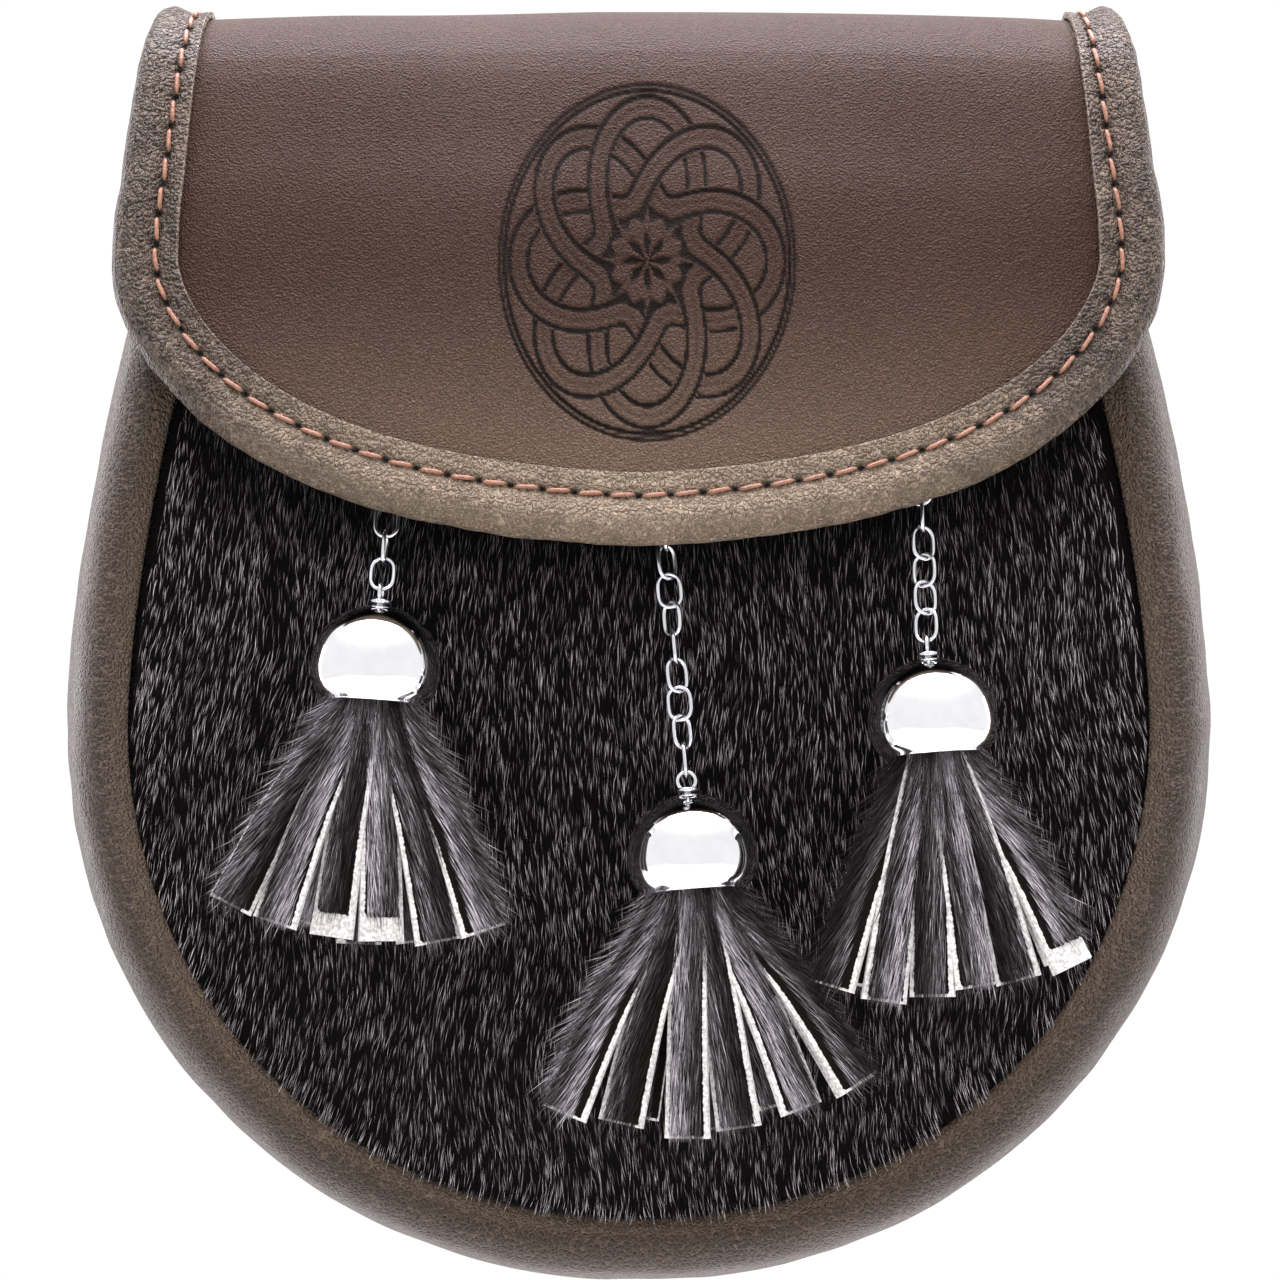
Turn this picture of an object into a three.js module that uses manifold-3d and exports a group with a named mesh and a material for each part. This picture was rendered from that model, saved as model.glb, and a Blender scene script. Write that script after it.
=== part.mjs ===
// A sporran: a hollow leather pouch with a hide front, a bound flap that closes over it,
// three hide tassels under metal caps on chains, and a strap loop on its back.
// Millimetres, +Z up, the front faces -Y. The origin is the middle of the strap passage.

import * as THREE from "three";
import { mergeVertices } from "three/addons/utils/BufferGeometryUtils.js";
import Module from "manifold-3d";

const wasm = await Module();
wasm.setup();

// Clearance between pieces that lie against each other
const GAP = 0.3;

// Wall thicknesses
const GUSSET_WALL = 2.0;
const BACK_WALL = 2.4;
const FRONT_WALL = 3.0;
const FLAP_WALL = 2.0;
const BINDING_WALL = 1.0;
const LOOP_WALL = 2.0;

// Pouch outline seen from the front: an oval belly with sides that taper to the mouth
const HALF_WIDTH = 90;
const BELLY_Z = -68;
const BELLY_DROP = 88;
const BELLY_ROUNDNESS = 2.06;
const MOUTH_Z = 24;
const MOUTH_HALF = 72;
const SIDE_TAPER = 1.6;

// Depth of the pouch from the rear face of the back panel to the crest of the front roll
const DEPTH_BELLY = 42;
const DEPTH_MOUTH = 29;
const DEPTH_FOOT = 34;
const DEPTH_Z = -70;
const MOUTH_REACH = 94;
const FOOT_REACH = 86;

// Gusset section: distance in from the outline, share of the depth, set back behind the crest
const GUSSET_SECTION = [
  { inset: 4.4, share: 0.0, recess: 0.0 },
  { inset: 1.4, share: 0.18, recess: 0.0 },
  { inset: 0.0, share: 0.5, recess: 0.0 },
  { inset: 0.9, share: 0.82, recess: 0.0 },
  { inset: 3.4, share: 0.965, recess: 0.0 },
  { inset: 6.8, share: 1.0, recess: 0.0 },
  { inset: 10.2, share: 1.0, recess: 2.8 },
];
const GUSSET_STEPS = 7;
const SIDE_STEPS = 7;
const BELLY_STEPS = 20;

// Front panel of hide, domed out from its seam
const FRONT_INSET = 10.6;
const FRONT_RECESS = 2.4;
const FRONT_DOME = 6.0;
const FRONT_DOME_POWER = 2.2;
const FRONT_CENTRE_Z = -64;
const FRONT_RINGS = [0, 0.3, 0.55, 0.76, 0.91, 1];
const MOUTH_EDGE_STEPS = 5;

// Back panel
const BACK_INSET = 2.4;
const BACK_TOP_Z = 27;

// Flap, from its sewn foot on the back over the ridge to the lip: middle line of the leather,
// half width, and how far the edges hang in behind the middle
const FLAP_ROWS = [
  { y: 1.3, z: 14.5, half: 69.0, sag: 0.0 },
  { y: 1.3, z: 22.0, half: 70.4, sag: 0.0 },
  { y: 1.3, z: 29.5, half: 71.8, sag: 0.1 },
  { y: -3.8, z: 39.4, half: 73.2, sag: 0.6 },
  { y: -15.5, z: 43.6, half: 74.2, sag: 1.6 },
  { y: -29.0, z: 37.8, half: 75.9, sag: 3.0 },
  { y: -38.6, z: 22.5, half: 78.0, sag: 5.2 },
  { y: -45.3, z: 6.0, half: 79.7, sag: 7.0 },
  { y: -56.4, z: -38.0, half: 79.7, sag: 8.0 },
];
const SAG_POWER = 2.2;
const CORNER_ROW = 7;
const LIP_ACROSS = 1.4;
const LIP_DOWN = 2.25;
const FLAP_UPPER_STEPS = 13;
const FLAP_LOWER_STEPS = 5;
const FLAP_COLUMNS = 12;

// Binding folded over the flap's edge: share of its width in from the outside, height over the leather
const BINDING_SECTION = [
  { inward: 1.0, height: 2.4 },
  { inward: 0.66, height: 2.5 },
  { inward: 0.36, height: 3.35 },
  { inward: 0.12, height: 2.65 },
  { inward: 0.0, height: 0.4 },
  { inward: 0.1, height: -2.1 },
  { inward: 0.36, height: -2.8 },
  { inward: 0.9, height: -2.4 },
];
const BINDING_WIDTH_RIDGE = 9.0;
const BINDING_WIDTH_LIP = 11.2;
const BINDING_OVERHANG = 2.6;
const BINDING_FOOT_SHARE = 2.35 / 8;
const BINDING_SIDE_STEPS = 11;
const BINDING_LIP_STEPS = 22;

// Strap loop on the back
const LOOP_MIDDLE_Z = -16;
const LOOP_WIDTH = 60;
const PASSAGE_HEIGHT = 34;
const PASSAGE_DEPTH = 6;
const LOOP_FOOT = 8;
const LOOP_RAMP = 3;

// Plain closing stud between the front panel and the flap
const STUD_Z = -15;
const STUD_RADIUS = 5;
const STUD_CLEAR = 0.5;

// Chain links
const LINK_LENGTH = 5.9;
const LINK_WIDTH = 4.2;
const WIRE = 0.65;
const LINK_CLEAR = 0.12;
const LINK_STEPS = 12;
const WIRE_SIDES = 5;
const RING_RADIUS = 1.4;
const STAPLE_CLEAR = 0.6;
const STAPLE_FOOT = 1.8;

// Metal cap of a tassel, from its rim up: height and radius
const CAP_HEIGHT = 15.2;
const CAP_WALL = 0.9;
const CAP_HOLE = 0.95;
const CAP_SIDES = 14;
const CAP_ROWS = [
  { up: 0.0, radius: 7.9 },
  { up: 1.4, radius: 9.1 },
  { up: 3.4, radius: 9.9 },
  { up: 5.8, radius: 10.1 },
  { up: 8.8, radius: 9.5 },
  { up: 11.4, radius: 8.1 },
  { up: 13.6, radius: 5.6 },
  { up: 14.8, radius: 2.9 },
];
const CAP_DROP = 2.0;
const CAP_OFF_FRONT = 0.5;
const TASSEL_TILT = 6;

// Hide strips of a tassel, back layer and front layer
const STRIP_LAYERS = [
  { count: 5, mouthX: 3.2, mouthY: 2.4, tipX: 19.4, tipY: 5.2, length: 36.5 },
  { count: 6, mouthX: 3.1, mouthY: -3.0, tipX: 20.0, tipY: -1.6, length: 38.0 },
];
const STRIP_WALL = 2.0;
const STRIP_WIDTH_MOUTH = 4.0;
const STRIP_WIDTH_TIP = 7.2;
const STRIP_STEPS = 3;
const PLUG_TOP = 8.3;
const PLUG_RADIUS = 6.2;

// The three chains: eye of the tassel, lean of the chain and of the tassel in degrees,
// spread of the strips, and the turn of each link about the chain from the eye up
const CHAINS = [
  { name: "left", eyeX: -39.9, eyeZ: -47.7, chainLean: 3.8, tasselLean: -4.0, fan: 1.0, eyeTurn: 82,
    turns: [-5, 85, -5, 82, -8] },
  { name: "middle", eyeX: 7.4, eyeZ: -76.8, chainLean: -5.0, tasselLean: 4.4, fan: 1.12, eyeTurn: 0,
    turns: [90, 45, -12, 36, 88, -48, 0, 45, 92, 0] },
  { name: "right", eyeX: 44.6, eyeZ: -55.8, chainLean: -1.4, tasselLean: 4.4, fan: 0.9, eyeTurn: 88,
    turns: [-28, 28, -28, 28, 88, -28, 28] },
];

const LEATHER_LOOK = { color: "#4b3f38", roughness: 0.55, metalness: 0 };
const BINDING_LOOK = { color: "#5a4e40", roughness: 0.6, metalness: 0 };
const GUSSET_LOOK = { color: "#55493d", roughness: 0.6, metalness: 0 };
const HIDE_LOOK = { color: "#171313", roughness: 0.7, metalness: 0 };
const STRIP_LOOK = { color: "#241e1d", roughness: 0.75, metalness: 0 };
const CHROME_LOOK = { color: "#d8d8da", roughness: 0.12, metalness: 1 };
const STEEL_LOOK = { color: "#cfcfd2", roughness: 0.22, metalness: 1 };

const radians = THREE.MathUtils.degToRad;
const vector = (x, y, z) => new THREE.Vector3(x, y, z);

// Smooth curve through the rows of a table, for every column at once
function along(rows, share) {
  const at = share * (rows.length - 1);
  const first = Math.min(Math.max(Math.floor(at), 0), rows.length - 2);
  const t = at - first;
  const row = (k) => rows[Math.min(Math.max(k, 0), rows.length - 1)];
  const result = {};
  for (const key of Object.keys(rows[0])) {
    const [a, b, c, d] = [-1, 0, 1, 2].map((step) => row(first + step)[key]);
    const slopeIn = (c - a) / 2;
    const slopeOut = (d - b) / 2;
    result[key] = b + slopeIn * t
      + (3 * (c - b) - 2 * slopeIn - slopeOut) * t * t
      + (2 * (b - c) + slopeIn + slopeOut) * t * t * t;
  }
  return result;
}

// Closed body from a list of triangles, merged, without slivers, and facing outward
function closedBody(triangles) {
  const soup = new THREE.BufferGeometry();
  const numbers = triangles.flatMap((triangle) => triangle.flatMap((p) => [p.x, p.y, p.z]));
  soup.setAttribute("position", new THREE.Float32BufferAttribute(numbers, 3));
  return outward(mergeVertices(soup, 1e-3));
}

function outward(geometry) {
  const position = geometry.getAttribute("position");
  const index = Array.from(geometry.index.array);
  const kept = [];
  let volume = 0;
  const [a, b, c] = [vector(), vector(), vector()];
  for (let i = 0; i < index.length; i += 3) {
    const [p, q, r] = index.slice(i, i + 3);
    if (p === q || q === r || r === p) continue;
    kept.push(p, q, r);
    a.fromBufferAttribute(position, p);
    b.fromBufferAttribute(position, q);
    c.fromBufferAttribute(position, r);
    volume += a.dot(b.cross(c)) / 6;
  }
  if (volume < 0) kept.reverse();
  geometry.setIndex(kept);
  geometry.computeVertexNormals();
  return geometry;
}

// Two triangles for every cell of a grid of points
function cells(grid, flip = false) {
  const triangles = [];
  for (let i = 0; i + 1 < grid.length; i += 1) {
    for (let j = 0; j + 1 < grid[i].length; j += 1) {
      const [a, b, c, d] = [grid[i][j], grid[i + 1][j], grid[i + 1][j + 1], grid[i][j + 1]];
      triangles.push(flip ? [a, c, b] : [a, b, c], flip ? [a, d, c] : [a, c, d]);
    }
  }
  return triangles;
}

// Sheet with two faces and closed edges; a sheet that closes on itself has only row edges
function sheet(outer, inner, ring = false) {
  const last = outer.length - 1;
  const end = outer[0].length - 1;
  const column = (grid, j) => grid.map((row) => row[j]);
  const triangles = [
    ...cells(outer),
    ...cells(inner, true),
    ...cells([inner[0], outer[0]]),
    ...cells([outer[last], inner[last]]),
  ];
  if (!ring) {
    triangles.push(...cells([column(outer, 0), column(inner, 0)], false));
    triangles.push(...cells([column(inner, end), column(outer, end)], false));
  }
  return closedBody(triangles);
}

function toManifold(source) {
  const geometry = source.clone();
  for (const name of ["normal", "uv", "uv1"]) geometry.deleteAttribute(name);
  const merged = outward(mergeVertices(geometry, 1e-4));
  return new wasm.Manifold(new wasm.Mesh({
    numProp: 3,
    vertProperties: new Float32Array(merged.getAttribute("position").array),
    triVerts: new Uint32Array(merged.index.array),
  }));
}

function fuse(geometries) {
  const mesh = wasm.Manifold.union(geometries.map(toManifold)).getMesh();
  const geometry = new THREE.BufferGeometry();
  geometry.setAttribute("position", new THREE.Float32BufferAttribute(mesh.vertProperties, 3));
  geometry.setIndex(Array.from(mesh.triVerts));
  geometry.computeVertexNormals();
  return geometry;
}

function named(name, geometry, look) {
  const mesh = new THREE.Mesh(geometry, new THREE.MeshStandardMaterial(look));
  mesh.name = name;
  return mesh;
}

// Pouch outline

function halfWidthAt(z) {
  if (z > BELLY_Z) {
    const rise = (z - BELLY_Z) / (MOUTH_Z - BELLY_Z);
    return HALF_WIDTH - (HALF_WIDTH - MOUTH_HALF) * rise ** SIDE_TAPER;
  }
  const fall = Math.min((BELLY_Z - z) / BELLY_DROP, 1);
  return HALF_WIDTH * (1 - fall ** BELLY_ROUNDNESS) ** (1 / BELLY_ROUNDNESS);
}

function depthAt(z) {
  if (z > DEPTH_Z) {
    return DEPTH_BELLY - (DEPTH_BELLY - DEPTH_MOUTH) * ((z - DEPTH_Z) / MOUTH_REACH) ** 2;
  }
  return DEPTH_BELLY - (DEPTH_BELLY - DEPTH_FOOT) * ((DEPTH_Z - z) / FOOT_REACH) ** 2;
}

// Stations round the pouch from the left end of the mouth to the right end
function outlineStations(topZ) {
  const power = 2 / BELLY_ROUNDNESS;
  const left = [];
  for (let i = 0; i < SIDE_STEPS; i += 1) {
    const z = THREE.MathUtils.lerp(topZ, BELLY_Z, i / SIDE_STEPS);
    left.push({ x: -halfWidthAt(z), z });
  }
  const belly = [];
  for (let i = 0; i <= BELLY_STEPS; i += 1) {
    const angle = (Math.PI * i) / BELLY_STEPS;
    const across = Math.cos(angle);
    belly.push({
      x: -HALF_WIDTH * Math.sign(across) * Math.abs(across) ** power,
      z: BELLY_Z - BELLY_DROP * Math.sin(angle) ** power,
    });
  }
  const right = left.map(({ x, z }) => ({ x: -x, z })).reverse();
  const all = [...left, ...belly, ...right];
  return all.map((point, i) => {
    const before = all[Math.max(i - 1, 0)];
    const after = all[Math.min(i + 1, all.length - 1)];
    const inward = new THREE.Vector2(-(after.z - before.z), after.x - before.x).normalize();
    if (i === 0 || i === all.length - 1) inward.set(-Math.sign(point.x), 0);
    return { ...point, inward };
  });
}

function insetPoint(station, inset, y) {
  return vector(station.x + station.inward.x * inset, y, station.z + station.inward.y * inset);
}

// Gusset: a rolled leather wall round the pouch, open at the mouth

function gussetGeometry() {
  const outer = [];
  const inner = [];
  for (const station of outlineStations(MOUTH_Z)) {
    const depth = depthAt(station.z);
    const back = BACK_WALL + GAP;
    const curve = [];
    for (let j = 0; j <= GUSSET_STEPS; j += 1) {
      const row = along(GUSSET_SECTION, j / GUSSET_STEPS);
      const y = row.recess - THREE.MathUtils.lerp(back, depth, row.share);
      curve.push(new THREE.Vector2(row.inset, y));
    }
    const lining = curve.map((point, j) => {
      const before = curve[Math.max(j - 1, 0)];
      const after = curve[Math.min(j + 1, curve.length - 1)];
      const run = after.clone().sub(before).normalize();
      const offset = new THREE.Vector2(-run.y, run.x).multiplyScalar(GUSSET_WALL);
      if (j === 0) offset.set(GUSSET_WALL, 0);
      return point.clone().add(offset);
    });
    outer.push(curve.map((point) => insetPoint(station, point.x, point.y)));
    inner.push(lining.map((point) => insetPoint(station, point.x, point.y)));
  }
  return sheet(outer, inner);
}

// Front panel: rings from its middle out to the seam and the mouth edge

function frontOutline() {
  const seam = outlineStations(MOUTH_Z).map((station) => insetPoint(station, FRONT_INSET, 0));
  const last = seam[seam.length - 1];
  const edge = [];
  for (let i = 1; i < MOUTH_EDGE_STEPS; i += 1) {
    edge.push(last.clone().lerp(seam[0], i / MOUTH_EDGE_STEPS));
  }
  return [...seam, ...edge, seam[0].clone()];
}

const FRONT_OUTLINE = frontOutline();

// Share of the way from the middle of the front panel to its edge
function frontShare(x, z) {
  const ray = new THREE.Vector2(x, z - FRONT_CENTRE_Z);
  if (ray.length() < 1e-6) return 0;
  for (let i = 0; i + 1 < FRONT_OUTLINE.length; i += 1) {
    const from = new THREE.Vector2(FRONT_OUTLINE[i].x, FRONT_OUTLINE[i].z - FRONT_CENTRE_Z);
    const to = new THREE.Vector2(FRONT_OUTLINE[i + 1].x, FRONT_OUTLINE[i + 1].z - FRONT_CENTRE_Z);
    const run = to.clone().sub(from);
    const cross = ray.cross(run);
    if (Math.abs(cross) < 1e-9) continue;
    const distance = from.cross(run) / cross;
    const place = from.cross(ray) / cross;
    if (distance > 0 && place >= -1e-6 && place <= 1 + 1e-6) return 1 / distance;
  }
  return 1;
}

function frontFace(z, share) {
  return FRONT_RECESS - depthAt(z) - FRONT_DOME * (1 - Math.min(share, 1) ** FRONT_DOME_POWER);
}

function frontY(x, z) {
  return frontFace(z, frontShare(x, z));
}

function frontGeometry() {
  const outer = FRONT_RINGS.map((share) => FRONT_OUTLINE.map((edge) => {
    const x = edge.x * share;
    const z = THREE.MathUtils.lerp(FRONT_CENTRE_Z, edge.z, share);
    return vector(x, frontFace(z, share), z);
  }));
  const inner = outer.map((ring) => ring.map((p) => vector(p.x, p.y + FRONT_WALL, p.z)));
  return sheet(outer, inner, true);
}

// Back panel: one flat plate

function backGeometry() {
  const seam = outlineStations(BACK_TOP_Z).map((station) => insetPoint(station, BACK_INSET, 0));
  const shape = new THREE.Shape(seam.map((point) => new THREE.Vector2(point.x, point.z)));
  const plate = new THREE.ExtrudeGeometry(shape, { depth: BACK_WALL, bevelEnabled: false });
  plate.rotateX(Math.PI / 2);
  return plainBody(plate);
}

function plainBody(geometry) {
  for (const name of ["normal", "uv"]) geometry.deleteAttribute(name);
  return outward(mergeVertices(geometry, 1e-4));
}

// Flap: a sheet that follows the profile, with its edges hanging in

const CORNER_SHARE = CORNER_ROW / (FLAP_ROWS.length - 1);

function flapMiddle(share, x) {
  const row = along(FLAP_ROWS, share);
  const step = 1e-3;
  const before = along(FLAP_ROWS, Math.max(share - step, 0));
  const after = along(FLAP_ROWS, Math.min(share + step, 1));
  const normal = new THREE.Vector2(after.z - before.z, before.y - after.y).normalize();
  const hang = row.sag * Math.abs(x / row.half) ** SAG_POWER;
  return vector(x, row.y - normal.x * hang, row.z - normal.y * hang);
}

function flapNormal(share, x) {
  const step = 2e-3;
  const down = flapMiddle(Math.min(share + step, 1), x).sub(flapMiddle(Math.max(share - step, 0), x));
  const across = flapMiddle(share, x + 0.2).sub(flapMiddle(share, x - 0.2));
  return down.cross(across).normalize();
}

// Place on the flap for a column from -1 to 1 and a row that runs past the corners to the lip
function flapLip(column) {
  const angle = (Math.PI / 2) * column;
  const reach = Math.abs(Math.cos(angle)) < 1e-9 ? 0 : Math.cos(angle) ** (2 / LIP_DOWN);
  return {
    across: Math.sign(column) * Math.abs(Math.sin(angle)) ** (2 / LIP_ACROSS),
    share: CORNER_SHARE + (1 - CORNER_SHARE) * reach,
  };
}

function flapGeometry() {
  const rows = [];
  for (let i = 0; i <= FLAP_UPPER_STEPS; i += 1) {
    const share = (CORNER_SHARE * i) / FLAP_UPPER_STEPS;
    rows.push({ share, lower: 0 });
  }
  for (let i = 1; i <= FLAP_LOWER_STEPS; i += 1) {
    rows.push({ share: CORNER_SHARE, lower: i / FLAP_LOWER_STEPS });
  }
  const faces = { outer: [], inner: [] };
  for (const { share, lower } of rows) {
    const places = [];
    for (let j = 0; j <= FLAP_COLUMNS; j += 1) {
      const lip = flapLip((2 * j) / FLAP_COLUMNS - 1);
      const here = THREE.MathUtils.lerp(share, lip.share, lower);
      places.push({ share: here, x: lip.across * along(FLAP_ROWS, share).half });
    }
    for (const [face, side] of [["outer", 1], ["inner", -1]]) {
      faces[face].push(places.map((place) => {
        const normal = flapNormal(place.share, place.x);
        return flapMiddle(place.share, place.x).addScaledVector(normal, (side * FLAP_WALL) / 2);
      }));
    }
  }
  return sheet(faces.outer, faces.inner);
}

// Binding: a strip folded over the edge, from the rear up each side and along the lip

function bindingStations() {
  const side = [];
  for (let i = 0; i < BINDING_SIDE_STEPS; i += 1) {
    const share = THREE.MathUtils.lerp(BINDING_FOOT_SHARE, CORNER_SHARE, i / BINDING_SIDE_STEPS);
    side.push({ share, x: -along(FLAP_ROWS, share).half });
  }
  const lip = [];
  for (let i = 0; i <= BINDING_LIP_STEPS; i += 1) {
    const place = flapLip((2 * i) / BINDING_LIP_STEPS - 1);
    lip.push({ share: place.share, x: place.across * FLAP_ROWS[CORNER_ROW].half });
  }
  return [...side, ...lip, ...side.map(({ share, x }) => ({ share, x: -x })).reverse()];
}

function bindingGeometry() {
  const stations = bindingStations();
  const middles = stations.map(({ share, x }) => flapMiddle(share, x));
  const outer = [];
  const inner = [];
  stations.forEach(({ share, x }, i) => {
    const before = middles[Math.max(i - 1, 0)];
    const after = middles[Math.min(i + 1, middles.length - 1)];
    const normal = flapNormal(share, x);
    const inward = normal.clone().cross(after.clone().sub(before)).normalize();
    const reach = THREE.MathUtils.smoothstep(share, 0.5, 1);
    const width = THREE.MathUtils.lerp(BINDING_WIDTH_RIDGE, BINDING_WIDTH_LIP, reach);
    const skin = BINDING_SECTION.map((row) => new THREE.Vector2(row.inward * width, row.height));
    const lining = skin.map((point, j) => {
      const run = skin[Math.min(j + 1, skin.length - 1)].clone().sub(skin[Math.max(j - 1, 0)]);
      run.normalize();
      return point.clone().add(new THREE.Vector2(-run.y, run.x).multiplyScalar(BINDING_WALL));
    });
    const place = (point) => middles[i].clone()
      .addScaledVector(inward, point.x - BINDING_OVERHANG)
      .addScaledVector(normal, point.y);
    outer.push(skin.map(place));
    inner.push(lining.map(place));
  });
  return sheet(outer, inner);
}

// Strap loop: a leather band that stands off the back between two sewn feet

function loopGeometry() {
  const half = PASSAGE_HEIGHT / 2;
  const profile = [
    [GAP, half + LOOP_RAMP + LOOP_FOOT],
    [GAP, half + LOOP_RAMP * 0.2],
    [PASSAGE_DEPTH, half],
    [PASSAGE_DEPTH, -half],
    [GAP, -half - LOOP_RAMP * 0.2],
    [GAP, -half - LOOP_RAMP - LOOP_FOOT],
    [GAP + LOOP_WALL, -half - LOOP_RAMP - LOOP_FOOT],
    [GAP + LOOP_WALL, -half - LOOP_RAMP],
    [PASSAGE_DEPTH + LOOP_WALL, -half - LOOP_RAMP * 0.4],
    [PASSAGE_DEPTH + LOOP_WALL, half + LOOP_RAMP * 0.4],
    [GAP + LOOP_WALL, half + LOOP_RAMP],
    [GAP + LOOP_WALL, half + LOOP_RAMP + LOOP_FOOT],
  ];
  const shape = new THREE.Shape(profile.map(([y, z]) => new THREE.Vector2(y, z + LOOP_MIDDLE_Z)));
  const band = new THREE.ExtrudeGeometry(shape, { depth: LOOP_WIDTH, bevelEnabled: false });
  band.translate(0, 0, -LOOP_WIDTH / 2);
  const turn = new THREE.Matrix4().makeBasis(vector(0, 1, 0), vector(0, 0, 1), vector(1, 0, 0));
  return plainBody(band.applyMatrix4(turn));
}

// Closing stud, standing on the front panel under the flap

function studGeometry() {
  const foot = vector(0, frontY(0, STUD_Z), STUD_Z);
  const rise = frontY(0, STUD_Z + 1) - frontY(0, STUD_Z - 1);
  const axis = vector(0, -2, rise).normalize();
  let share = 1;
  const aside = () => flapMiddle(share, 0).sub(foot).cross(axis).x;
  const start = Math.sign(aside());
  while (share > CORNER_SHARE && Math.sign(aside()) === start) share -= 0.001;
  const room = flapMiddle(share, 0).distanceTo(foot) - FLAP_WALL / 2;
  const stud = new THREE.CylinderGeometry(STUD_RADIUS, STUD_RADIUS, room - 2 * STUD_CLEAR, 16);
  stud.applyQuaternion(new THREE.Quaternion().setFromUnitVectors(vector(0, 1, 0), axis));
  stud.translate(...foot.addScaledVector(axis, room / 2).toArray());
  return plainBody(stud);
}

// Chain pieces, each about its own middle with the chain along Z

class LinkCurve extends THREE.Curve {
  getPoint(t, target = vector()) {
    const turn = 2 * Math.PI * t;
    const radius = (LINK_WIDTH - WIRE) / 2;
    const straight = (LINK_LENGTH - LINK_WIDTH) / 2;
    const up = Math.sin(turn);
    return target.set(radius * Math.cos(turn), 0, radius * up + straight * Math.tanh(4 * up));
  }
}

function linkGeometry() {
  return plainBody(new THREE.TubeGeometry(new LinkCurve(), LINK_STEPS, WIRE / 2, WIRE_SIDES, true));
}

function ringGeometry(radius, turnDegrees) {
  const ring = new THREE.TorusGeometry(radius, WIRE / 2, WIRE_SIDES, LINK_STEPS);
  ring.rotateX(Math.PI / 2);
  ring.rotateZ(radians(turnDegrees));
  return ring;
}

// Wire eye of a tassel: ring, collar on the cap, stem through the cap and a stop inside it
function eyeGeometry(turnDegrees) {
  const disc = (radius, thickness, middle) => {
    const geometry = new THREE.CylinderGeometry(radius, radius, thickness, 10);
    geometry.rotateX(Math.PI / 2);
    geometry.translate(0, 0, middle);
    return geometry;
  };
  const stemEnd = PLUG_TOP - GAP;
  const stem = disc(0.5, stemEnd - RING_RADIUS, -(stemEnd + RING_RADIUS) / 2);
  const collar = disc(1.8, WIRE, GAP + WIRE / 2 - CAP_DROP);
  const stop = disc(2.2, 0.9, -CAP_DROP - CAP_WALL - GAP - 0.75);
  return fuse([ringGeometry(RING_RADIUS, turnDegrees), collar, stem, stop]);
}

// Staple on the front panel: a ring on a short post with a round foot
function stapleGeometry(turnDegrees, standoff) {
  const reach = standoff - STAPLE_CLEAR;
  const post = new THREE.CylinderGeometry(0.55, 0.55, reach, 6);
  post.translate(0, reach / 2, RING_RADIUS);
  const foot = new THREE.CylinderGeometry(STAPLE_FOOT, STAPLE_FOOT, 0.8, 10);
  foot.translate(0, reach - 0.4, RING_RADIUS);
  return fuse([ringGeometry(RING_RADIUS, turnDegrees), post, foot]);
}

// Metal cap of a tassel: a hollow bell, open below, with a hole for the eye's stem

function capGeometry() {
  const skin = CAP_ROWS.map((row) => new THREE.Vector2(row.radius, row.up - CAP_HEIGHT - CAP_DROP));
  const hole = new THREE.Vector2(CAP_HOLE, -CAP_DROP - 0.05);
  const holeUnder = new THREE.Vector2(CAP_HOLE, -CAP_DROP - CAP_WALL);
  const lining = skin.map((point, i) => {
    const before = skin[Math.max(i - 1, 0)];
    const after = i + 1 < skin.length ? skin[i + 1] : hole;
    const run = after.clone().sub(before).normalize();
    const offset = i === 0 ? new THREE.Vector2(-1, 0) : new THREE.Vector2(-run.y, run.x);
    return point.clone().addScaledVector(offset, CAP_WALL);
  });
  const profile = [...skin, hole, holeUnder, ...lining.reverse(), skin[0].clone()];
  const bell = new THREE.LatheGeometry(profile, CAP_SIDES);
  bell.rotateX(Math.PI / 2);
  return plainBody(bell);
}

// Tassel strips fanned in two layers, fused to the plug that fills the cap

function stripGeometry(layer, fan, spreadBy) {
  const rim = -CAP_DROP - CAP_HEIGHT;
  const bow = Math.sqrt(1 - 0.6 * fan * fan);
  const top = vector(layer.mouthX * fan * 0.8, layer.mouthY * bow * 0.8, rim + 5);
  const mouth = vector(layer.mouthX * fan, layer.mouthY * bow, rim);
  const tipX = layer.tipX * fan * spreadBy;
  const spread = tipX - mouth.x;
  const tip = vector(tipX, layer.tipY * bow, rim - Math.sqrt(layer.length ** 2 - spread ** 2));
  const path = new THREE.CatmullRomCurve3([top, mouth, mouth.clone().lerp(tip, 0.5), tip]);
  path.points[2].x += spread * 0.06;
  const front = [];
  const back = [];
  for (let i = 0; i <= STRIP_STEPS; i += 1) {
    const share = i / STRIP_STEPS;
    const run = path.getTangent(share);
    const across = vector(run.z, 0, -run.x).normalize().multiplyScalar(-1);
    const width = THREE.MathUtils.lerp(STRIP_WIDTH_MOUTH, STRIP_WIDTH_TIP, share);
    const middle = path.getPoint(share);
    const edge = (side, depth) => middle.clone()
      .addScaledVector(across, (side * width) / 2)
      .add(vector(0, depth, 0));
    front.push([edge(-1, -STRIP_WALL / 2), edge(1, -STRIP_WALL / 2)]);
    back.push([edge(-1, STRIP_WALL / 2), edge(1, STRIP_WALL / 2)]);
  }
  return sheet(front, back);
}

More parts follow.
